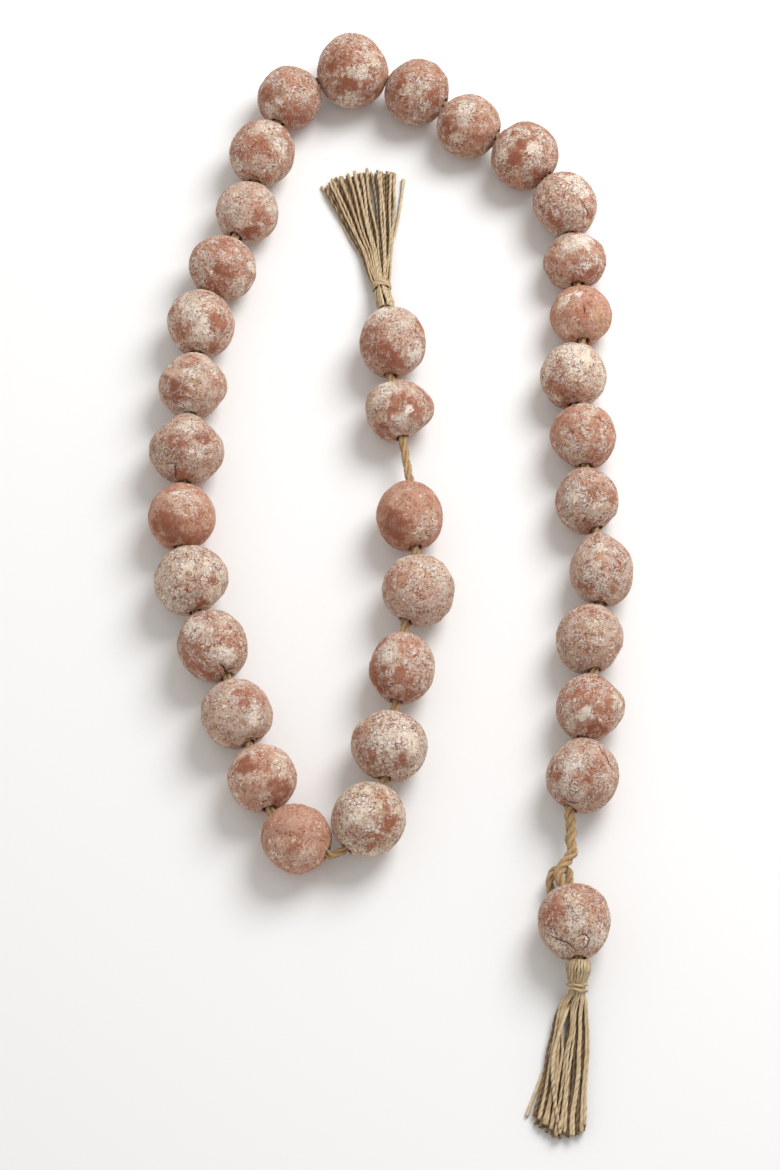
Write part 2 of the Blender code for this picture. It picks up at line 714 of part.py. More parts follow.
def grow_strand(tassel, points, faces, inset, centre, column, row, rng):
    """Carry one inset cell of the far face out to a strand's tip, one square ring at a time."""
    # Columns run from left to right where the tips point away, and from right to left where they
    # point back at the viewer. A layer up shifts a strand by a third of a column.
    flip = (column + 0.5 + (row - 1) / 3) / STRAND_COLUMNS
    share = flip if tassel.stations[0].y < tassel.stations[-1].y else 1 - flip
    share = min(max(share, 0.0), 1.0)
    tip = tip_place(tassel, share)
    strays = column == STRAND_COLUMNS - 1 and row == 0
    if strays:
        tip = Vector((tassel.stray.x, tassel.stray.y, 0.0))
    tip.z = STRAND_WIDE / 2 + row * LAYER_RISE
    heading = (Vector((tip.x, tip.y, 0)) - Vector((centre.x, centre.y, 0))).normalized()
    uneven, bow = rng.uniform(*TIP_UNEVEN), rng.uniform(-SWAY, SWAY)
    side = heading.cross(Vector((0, 0, 1)))
    if strays:
        bow = STRAY_BOW
    else:
        tip += heading * uneven
        apart = share - tassel.parting
        away = math.copysign(1, apart) * (1 if flip == share else -1)
        bow += away * PARTING * max(0, 1 - abs(apart) / PARTING_REACH)
    handle = (centre + tip) / 2 + side * bow
    ring = inset
    for step in range(1, STRAND_STEPS + 1):
        t = step / STRAND_STEPS
        place = bezier(centre, handle, tip, t)
        settle = min(1.0, t / SETTLE_SHARE)
        place.z = centre.z + (tip.z - centre.z) * settle
        before = bezier(centre, handle, tip, t - SLOPE_STEP)
        after = bezier(centre, handle, tip, min(t + SLOPE_STEP, 1.0))
        ahead = after - before
        ahead.z = 0
        ahead.normalize()
        across = ahead.cross(Vector((0, 0, 1)))
        wide = STRAND_ROOT + (STRAND_WIDE - STRAND_ROOT) * t
        fresh = []
        for u, w in ((-1, -1), (1, -1), (1, 1), (-1, 1)):
            fresh.append(len(points))
            points.append(place + across * (u * wide / 2) + Vector((0, 0, w * STRAND_WIDE / 2)))
        for k in range(4):
            following = (k + 1) % 4
            faces.append((ring[k], ring[following], fresh[following], fresh[k]))
        ring = fresh
    faces.append(tuple(ring))


def make_wrap(tassel):
    """The twine wound round the tassel's neck, a thin coil with a gap to the strands under it."""
    frames = station_frames(tassel.stations)
    first, last = tassel.neck
    start, end = tassel.stations[first], tassel.stations[last]
    begin = Vector((start.x, start.y, start.z))
    finish = Vector((end.x, end.y, end.z))
    ahead = (finish - begin).normalized()
    side = ahead.cross(Vector((0, 0, 1))).normalized()
    up = side.cross(ahead).normalized()
    radius = tassel.twine / 2
    pitch = tassel.twine + SEAT
    length = (finish - begin).length
    used = pitch * tassel.turns
    steps = round(WRAP_STEPS * tassel.turns)
    route = []
    for k in range(steps + 1):
        turn = 2 * math.pi * k / WRAP_STEPS
        down = (length - used) / 2 + used * k / steps
        share = down / length
        wide = start.wide + (end.wide - start.wide) * share
        thick = start.thick + (end.thick - start.thick) * share
        spread = 1 / math.cos(math.pi / WRAP_STEPS)
        route.append(
            begin + ahead * down
            + side * (math.cos(turn) * (wide / 2 + SEAT + radius) * spread)
            + up * (math.sin(turn) * (thick / 2 + SEAT + radius) * spread)
        )
    tube(tassel.name + "_wrap", route, WRAP_SIDES, lambda k, s: radius, COLOURS["twine"])


def centre_on_origin():
    """Slide the whole garland so that the middle of its outline stands over the origin."""
    places = []
    for thing in GARLAND.children:
        places += [thing.location + vert.co for vert in thing.data.vertices]
    middle_x = (min(p.x for p in places) + max(p.x for p in places)) / 2
    middle_y = (min(p.y for p in places) + max(p.y for p in places)) / 2
    GARLAND.location = (-middle_x, -middle_y, 0.0)
    print("moved by mm:", round(-middle_x / MM, 3), round(-middle_y / MM, 3))


remove_all()
GARLAND = bpy.data.objects.new("garland", None)
bpy.context.scene.collection.objects.link(GARLAND)
for bead in BEADS:
    make_bead(bead)
make_cord()
make_knot()
for tassel in (TASSEL_A, TASSEL_B):
    make_tassel(tassel)
    make_wrap(tassel)
centre_on_origin()
print("pieces:", len(GARLAND.children))
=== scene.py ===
# %% [markdown]
# A garland of hand-rolled clay beads on a jute cord, with a jute tassel at each end, lies in an
# open loop on a pale table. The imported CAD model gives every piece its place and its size, so it
# is loaded first and kept as it is. Each piece made below stands over one of its nodes, apart
# from the thin cracks in the clay, which lie on the beads.

# %% Load the frame
import json
import math
import random
from functools import reduce

import bpy
import numpy as np
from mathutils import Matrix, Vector
from mathutils import noise
from mathutils.bvhtree import BVHTree

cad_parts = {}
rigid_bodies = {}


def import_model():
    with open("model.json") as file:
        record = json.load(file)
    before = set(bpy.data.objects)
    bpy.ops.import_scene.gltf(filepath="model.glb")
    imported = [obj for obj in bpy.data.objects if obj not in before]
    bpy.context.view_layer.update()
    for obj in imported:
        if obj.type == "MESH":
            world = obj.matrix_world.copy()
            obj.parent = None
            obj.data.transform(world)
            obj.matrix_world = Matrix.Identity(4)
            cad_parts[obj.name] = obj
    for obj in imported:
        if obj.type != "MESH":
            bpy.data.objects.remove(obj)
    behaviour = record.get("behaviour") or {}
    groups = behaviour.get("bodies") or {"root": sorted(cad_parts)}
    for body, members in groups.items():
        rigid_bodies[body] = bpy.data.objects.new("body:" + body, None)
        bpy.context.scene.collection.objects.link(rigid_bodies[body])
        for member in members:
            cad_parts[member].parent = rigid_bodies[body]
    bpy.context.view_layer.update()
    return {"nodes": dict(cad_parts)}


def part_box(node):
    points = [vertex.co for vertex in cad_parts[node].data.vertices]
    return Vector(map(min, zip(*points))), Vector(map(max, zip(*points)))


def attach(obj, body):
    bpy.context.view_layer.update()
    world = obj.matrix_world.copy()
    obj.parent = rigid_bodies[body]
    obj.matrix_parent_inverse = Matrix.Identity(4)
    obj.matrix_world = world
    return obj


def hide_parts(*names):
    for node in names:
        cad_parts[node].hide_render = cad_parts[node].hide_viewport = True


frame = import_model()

MM = 0.001


def millimetres(places):
    """Places in metres, as rounded millimetres for printing."""
    return [[round(c / MM, 1) for c in place] for place in places]


# %% [markdown]
# The garland was looked at almost from above, with the head leaning back by 24 degrees. A long
# lens far away keeps the beads round towards the edges of the picture. The picture is upright,
# so the lens is fitted to its tall side.

# %% Camera
VIEW_LEAN = math.radians(24)
LENS, SENSOR = 106.2, 36.0
DISTANCE = 1743
CLIP_START = 0.05
PICTURE_MIDDLE = (0.603, -21.09)
AIM = Vector((*PICTURE_MIDDLE, 17.0)) * MM
EYE = AIM + Vector((0.0, -math.sin(VIEW_LEAN), math.cos(VIEW_LEAN))) * DISTANCE * MM


def stand(name, data):
    """A new object in the scene."""
    thing = bpy.data.objects.new(name, data)
    bpy.context.scene.collection.objects.link(thing)
    return thing


camera_data = bpy.data.cameras.new("camera")
camera_data.lens = LENS
camera_data.sensor_fit = "VERTICAL"
camera_data.sensor_height = SENSOR
camera_data.clip_start = CLIP_START
camera = stand("camera", camera_data)
camera.location = EYE
camera.rotation_euler = (VIEW_LEAN, 0.0, 0.0)
bpy.context.scene.camera = camera
print("camera stands", round(EYE.z / MM), "mm up")

# %% [markdown]
# Chalky clay looks best in soft light. A white sky all round fills the shadows, and one large
# lamp at the upper right gives each bead its rounder, brighter shoulder. The table is a plain
# pale sheet, and it only has to be wide enough to reach past every view.

# %% Table and light
SKY_LIGHT, SKY_TINT = 0.60, (1.0, 0.978, 0.95, 1.0)
LAMP_WATTS, LAMP_TINT = 18.0, (0.975, 0.985, 1.0)
LAMP_WIDTH, LAMP_PLACE = 0.9, (0.62, 0.72, 1.15)
TABLE_REACH, TABLE_TINT, TABLE_ROUGHNESS = 4, (0.90, 0.90, 0.895, 1.0), 0.95


def blank_finish(name, specular):
    """A new material with its tree and its shader."""
    finish = bpy.data.materials.new(name)
    finish.use_nodes = True
    shader = finish.node_tree.nodes["Principled BSDF"]
    shader.inputs["Specular IOR Level"].default_value = specular
    return finish, finish.node_tree, shader


world = bpy.data.worlds.new("studio sky")
world.use_nodes = True
world.node_tree.nodes["Background"].inputs["Color"].default_value = SKY_TINT
world.node_tree.nodes["Background"].inputs["Strength"].default_value = SKY_LIGHT
bpy.context.scene.world = world
bpy.context.scene.view_settings.view_transform = "Standard"

lamp_data = bpy.data.lights.new("soft lamp", "AREA")
lamp_data.shape = "DISK"
lamp_data.size = LAMP_WIDTH
lamp_data.energy = LAMP_WATTS
lamp_data.color = LAMP_TINT
lamp = stand("soft lamp", lamp_data)
lamp.location = LAMP_PLACE
lamp.rotation_euler = (-lamp.location).to_track_quat("-Z", "Y").to_euler()

table_mesh = bpy.data.meshes.new("table")
corners = [(x * TABLE_REACH, y * TABLE_REACH, 0) for x, y in ((-1, -1), (1, -1), (1, 1), (-1, 1))]
table_mesh.from_pydata(corners, [], [(0, 1, 2, 3)])
table = stand("table", table_mesh)
table_finish, _, table_shader = blank_finish("pale table", specular=0.1)
table_shader.inputs["Base Color"].default_value = TABLE_TINT
table_shader.inputs["Roughness"].default_value = TABLE_ROUGHNESS
table_mesh.materials.append(table_finish)
print("sky", SKY_LIGHT, "and lamp", LAMP_WATTS, "W")

# %% [markdown]
# A material is a net of small nodes. These helpers add one node each and give back its output,
# so a finish can be written down almost as a sum: noise, then a threshold, then a mix of colours.
# A value knows which net it belongs to, so a new node goes beside the values it takes in.

# %% Helpers for sums and noise
def wire(value, socket):
    """Link a node's output to an input."""
    socket.id_data.links.new(value, socket)


def put(kind, sockets, tree=None, **options):
    """Add a node to the net its inputs come from, set its options, and set or wire its inputs."""
    for value in sockets.values():
        tree = value.id_data if isinstance(value, bpy.types.NodeSocket) else tree
    node = tree.nodes.new("ShaderNode" + kind)
    for option, value in options.items():
        setattr(node, option, value)
    for socket, value in sockets.items():
        if isinstance(value, bpy.types.NodeSocket):
            wire(value, node.inputs[socket])
        else:
            node.inputs[socket].default_value = value
    return node


def sums(operation, *values):
    """One step of arithmetic."""
    return put("Math", dict(enumerate(values)), operation=operation).outputs[0]


def plus(*values):
    """Some values added up."""
    return reduce(lambda total, value: sums("ADD", total, value), values)


def times(*values):
    """Some values multiplied."""
    return reduce(lambda total, value: sums("MULTIPLY", total, value), values)


def minus(one, other):
    """One value less another."""
    return sums("SUBTRACT", one, other)


def moved(operation, place, by):
    """A place with another one added or subtracted, or scaled by a number."""
    sockets = {0: place, "Scale" if operation == "SCALE" else 1: by}
    return put("VectorMath", sockets, operation=operation).outputs[0]


def threshold(value, low, high):
    """0 below low, 1 above high, and a smooth step between them."""
    sockets = {"Value": value, "From Min": low, "From Max": high}
    return put("MapRange", sockets, interpolation_type="SMOOTHSTEP").outputs["Result"]


def cloud(place, size, detail=4.0, rough=0.6, warp=0.0, output="Fac"):
    """Noise from 0 to 1 whose blotches are about size across, in the units of place."""
    given_size = isinstance(size, bpy.types.NodeSocket)
    scale = sums("DIVIDE", 1.0, size) if given_size else 1.0 / size
    return put("TexNoise", {
        "Vector": place, "Scale": scale, "Detail": detail, "Roughness": rough, "Distortion": warp,
    }).outputs[output]


def blended(share, under, over):
    """The colour over laid on the colour under, by share."""
    node = put("Mix", {"Factor": share}, data_type="RGBA")
    for socket, value in ((node.inputs[6], under), (node.inputs[7], over)):
        if isinstance(value, bpy.types.NodeSocket):
            wire(value, socket)
        else:
            socket.default_value = (*value, 1.0)
    return node.outputs[2]


print("helpers for sums and noise are ready")

# %% [markdown]
# An effect that several finishes use is kept as a group: a small net of its own with named
# inputs, so each finish can place it with other values. Sizes in a finish are real millimetres,
# because places come in as such, and its finest relief is a bump.

# %% Helpers for groups and finishes
def new_group(name, where, numbers, outputs):
    """An empty shader group that takes a place and some numbers: its tree, inputs and outputs."""
    tree = bpy.data.node_groups.new(name, "ShaderNodeTree")
    tree.interface.new_socket(where, in_out="INPUT", socket_type="NodeSocketVector")
    for label, value in numbers.items():
        socket = tree.interface.new_socket(label, in_out="INPUT", socket_type="NodeSocketFloat")
        socket.default_value = value
    for label, kind in outputs.items():
        tree.interface.new_socket(label, in_out="OUTPUT", socket_type="NodeSocket" + kind)
    return tree, tree.nodes.new("NodeGroupInput").outputs, tree.nodes.new("NodeGroupOutput").inputs


def use(group, sockets):
    """Place a group in a material, with values of its own."""
    return put("Group", sockets, node_tree=group).outputs


def measure(tree, name):
    """What is painted on the mesh under this name."""
    return put("Attribute", {}, tree, attribute_name=name).outputs


def in_millimetres(tree):
    """Where a point of the surface is, in millimetres."""
    return moved("SCALE", put("TexCoord", {}, tree).outputs["Object"], 1 / MM)


def lift(shader, height, strength, depth_mm):
    """Raise the finish's fine relief with a bump."""
    sockets = {"Height": height, "Strength": strength, "Distance": depth_mm * MM}
    wire(put("Bump", sockets).outputs["Normal"], shader.inputs["Normal"])


print("helpers for groups and finishes are ready")

# %% [markdown]
# The beads are red earthenware under a thin lime wash. The wash soaked in as a milky film, dried
# to chalk where it lay thick, and was rubbed back with a cloth, so it breaks up into ragged
# patches, fine flecks and dark grains. Five groups make those effects: a smear that swirls the
# rest, a broken coat, residue in thin lines, small pits, and a crackle.

# %% Shared effects for the clay
def make_smear():
    """Push a place about, as a cloth drags wet wash, so that later noise comes out in swirls."""
    tree, given, result = new_group("smear", "Place", {"Swirl": 9.0, "Reach": 9.0}, {"Place": "Vector"})
    push = cloud(given["Place"], given["Swirl"], 1.5, 0.5, output="Color")
    push = moved("SCALE", moved("SUBTRACT", push, (0.5, 0.5, 0.5)), given["Reach"])
    wire(moved("ADD", given["Place"], push), result["Place"])
    return tree


def make_broken_coat():
    """A coat that holds where its cover is high and wears through in ragged specks."""
    tree, given, result = new_group(
        "broken coat", "Place", {"Cover": 0.5, "Grain": 0.5, "Blotch": 3.0, "Edge": 0.2},
        {"Mask": "Float"})
    broad = cloud(given["Place"], given["Blotch"], 6.0, 0.62, 0.6)
    fine = cloud(given["Place"], 1.3, 2.5, 0.7, 0.9)
    patches = times(minus(broad, 0.5), 0.9)
    specks = times(minus(fine, 0.475), 1.3, given["Grain"])
    level = plus(given["Cover"], times(plus(patches, specks), 1.6))
    low, high = minus(0.5, given["Edge"]), plus(0.5, given["Edge"])
    wire(threshold(level, low, high), result["Mask"])
    return tree


def make_residue():
    """Thin worm-like lines that a drying wash leaves behind, in some places only."""
    tree, given, result = new_group(
        "residue", "Place", {"Size": 2.4, "Width": 0.08}, {"Lines": "Float"})
    wander = cloud(given["Place"], given["Size"], 3.0, 0.55, 1.2)
    apart = sums("ABSOLUTE", minus(wander, 0.5))
    lines = minus(1.0, threshold(apart, 0.0, given["Width"]))
    where = threshold(cloud(given["Place"], 6.0, 3.0), 0.47, 0.60)
    wire(times(lines, where), result["Lines"])
    return tree


def cells(place, size, feature="F1"):
    """A pattern of cells that are about size across."""
    sockets = {"Vector": place, "Scale": sums("DIVIDE", 1.0, size)}
    return put("TexVoronoi", sockets, feature=feature).outputs


def make_pitting():
    """Small round pits, deepest in their middles, kept only in some of their cells."""
    tree, given, result = new_group(
        "pitting", "Place", {"Spacing": 3.0, "Share": 0.3}, {"Depth": "Float"})
    pits = cells(given["Place"], given["Spacing"])
    kept = put("SeparateColor", {"Color": pits["Color"]}).outputs["Red"]
    chosen = sums("LESS_THAN", kept, given["Share"])
    dip = minus(1.0, threshold(pits["Distance"], 0.08, 0.26))
    wire(times(dip, chosen), result["Depth"])
    return tree


def make_crackle():
    """Thin lines between shrinking islands of dried wash."""
    tree, given, result = new_group(
        "crackle", "Place", {"Island": 1.8, "Width": 0.08}, {"Lines": "Float"})
    wander = cloud(given["Place"], 1 / 0.9, 3.0, 0.5, output="Color")
    bent = moved("ADD", given["Place"], moved("SCALE", wander, 1.3))
    edges = cells(bent, given["Island"], "DISTANCE_TO_EDGE")["Distance"]
    lines = minus(1.0, threshold(edges, 0.0, given["Width"]))
    wire(lines, result["Lines"])
    return tree


SMEAR = make_smear()
BROKEN_COAT = make_broken_coat()
RESIDUE = make_residue()
PITTING = make_pitting()
CRACKLE = make_crackle()
print("groups:", [group.name for group in bpy.data.node_groups])

# %% [markdown]
# The clay finish reads three things painted on each bead's skin: the colour of its film and how
# well it covers, how much chalk stands on it, and how grainy it is. Under all of them is the
# fired clay, redder and browner in turns. The layers go on one over another, as they did on the
# real bead. Bare clay is a little smoother than chalk.

# %% Clay finish
def linear(red, green, blue):
    """A colour picked on a screen, from 0 to 255, as the shader wants it."""
    parts = (red / 255, green / 255, blue / 255)
    return tuple(c / 12.92 if c <= 0.04045 else ((c + 0.055) / 1.055) ** 2.4 for c in parts)


DEEP_CLAY = linear(148, 86, 61)
RED_CLAY = linear(181, 121, 94)
CHALK_WHITE = linear(244, 235, 224)
CHALK_CREAM = linear(229, 209, 186)
# painted shade, laid deepest in the middles of the pits
PIT_SHADE = linear(110, 62, 42)
SPECK = linear(160, 93, 65)
FILM_SHARE, CHALK_SHARE, GRIT_SHARE, PIT_SHARE = 0.92, 0.88, 0.90, 0.85
BARE_ROUGHNESS, WASH_DULLS = 0.60, 0.28
FILM_HEIGHT, PIT_DEPTH, BUMP_HEIGHT = 0.6, 1.6, 2.2


def clay_finish(name, worms, crackle, island, pits, relief):
    """Washed earthenware, with its own share of crackle and pits and its own relief."""
    finish, tree, shader = blank_finish(name, specular=0.35)
    place = in_millimetres(tree)
    other_place = moved("ADD", place, (31.0, 17.0, 5.0))
    smeared = use(SMEAR, {"Place": place, "Swirl": 10.0, "Reach": 9.0})["Place"]
    smeared_other = use(SMEAR, {"Place": other_place, "Swirl": 8.0, "Reach": 9.0})["Place"]
    film = measure(tree, "film")
    crust = measure(tree, "crust")["Fac"]
    grain = measure(tree, "grain")["Fac"]

    turns = threshold(cloud(smeared, 3.0, 5.0, 0.7), 0.38, 0.62)
    coat = use(BROKEN_COAT, {
        "Place": smeared, "Cover": film["Alpha"], "Grain": grain, "Blotch": 3.4, "Edge": 0.15,
    })["Mask"]
    lines = use(RESIDUE, {"Place": smeared, "Size": 2.3, "Width": 0.09})["Lines"]
    residue = times(grain, worms, lines)
    chalked = use(BROKEN_COAT, {
        "Place": smeared_other, "Cover": crust, "Grain": times(grain, 1.2), "Blotch": 2.8,
        "Edge": 0.08,
    })["Mask"]
    creamy = threshold(cloud(place, 4.0), 0.4, 0.6)
    chalk_tone = blended(creamy, CHALK_CREAM, CHALK_WHITE)
    cracks = use(CRACKLE, {"Place": place, "Island": island, "Width": 0.17})["Lines"]
    parted = threshold(cloud(place, 4.0, 3.0), 0.42, 0.60)
    shown = times(cracks, parted, crackle)
    grit = threshold(cloud(smeared, 1.2, 2.0, 0.65, 0.8), 0.53, 0.60)
    gritty = threshold(cloud(other_place, 6.0, 2.0), 0.32, 0.58)
    grit = times(grit, grain, gritty)
    holes = use(PITTING, {"Place": place, "Spacing": 2.2, "Share": pits})["Depth"]

    coloured = blended(turns, DEEP_CLAY, RED_CLAY)
    for share, tone in (
        (times(coat, FILM_SHARE), film["Color"]),
        (residue, CHALK_WHITE),
        (times(chalked, CHALK_SHARE), chalk_tone),
        (shown, SPECK),
        (times(grit, GRIT_SHARE), SPECK),
        # painted shade in the pits
        (times(holes, PIT_SHARE), PIT_SHADE),
    ):
        coloured = blended(share, coloured, tone)
    wire(coloured, shader.inputs["Base Color"])

    washed = sums("MAXIMUM", coat, chalked)
    dull = plus(BARE_ROUGHNESS, times(washed, WASH_DULLS))
    wire(dull, shader.inputs["Roughness"])
    raised = plus(chalked, residue, times(coat, FILM_HEIGHT))
    sunk = plus(grit, shown, times(holes, PIT_DEPTH))
    bumps = times(cloud(smeared, 2.6, 5.0, 0.72), BUMP_HEIGHT)
    lift(shader, plus(minus(raised, sunk), bumps), 1.0, relief)
    return finish


# finish: worm-like residue, crackle, its islands in mm, share of pits, relief in mm
CLAY_ROWS = {
    "smooth": (0.20, 0.10, 1.5, 0.05, 0.10),
    "mottled": (0.85, 0.34, 1.7, 0.12, 0.17),
    "crackled": (0.90, 0.85, 2.1, 0.12, 0.18),
    "rough": (0.95, 0.55, 1.5, 0.26, 0.22),
}
CLAYS = {name: clay_finish(name + " clay", *row) for name, row in CLAY_ROWS.items()}
print("clay finishes:", list(CLAYS))

# %% [markdown]
# A maker washes every bead differently, so each one has its own row: its finish, its first
# coat, and the dabs of other coats on the side that faces up. A dab's place is across and up
# from the middle of the bead as it is seen, and its size is a share of the bead's half width.

# %% The washes and where they lie
# wash: its colour, how well its film covers, how much chalk stands on it, how grainy it is
WASHES = {
    "bare": (*linear(147, 89, 67), 0.70, -0.12, 0.6),
    "rust": (*linear(172, 115, 92), 0.66, 0.08, 0.9),
    "salmon": (*linear(192, 147, 124), 0.69, 0.06, 1.0),
    "tan": (*linear(196, 152, 128), 0.64, 0.22, 1.2),
    "rose": (*linear(209, 171, 150), 0.72, 0.28, 1.2),
    "beige": (*linear(210, 179, 158), 0.76, 0.24, 1.0),
    "grey": (*linear(201, 176, 156), 0.74, 0.34, 1.1),
    "sand": (*linear(200, 158, 127), 0.72, 0.12, 0.9),
    "cream": (*linear(219, 195, 169), 0.76, 0.47, 1.0),
    "chalk": (*linear(229, 214, 198), 0.84, 0.66, 1.0),
    "plaster": (*linear(235, 225, 214), 0.96, 0.86, 0.6),
}
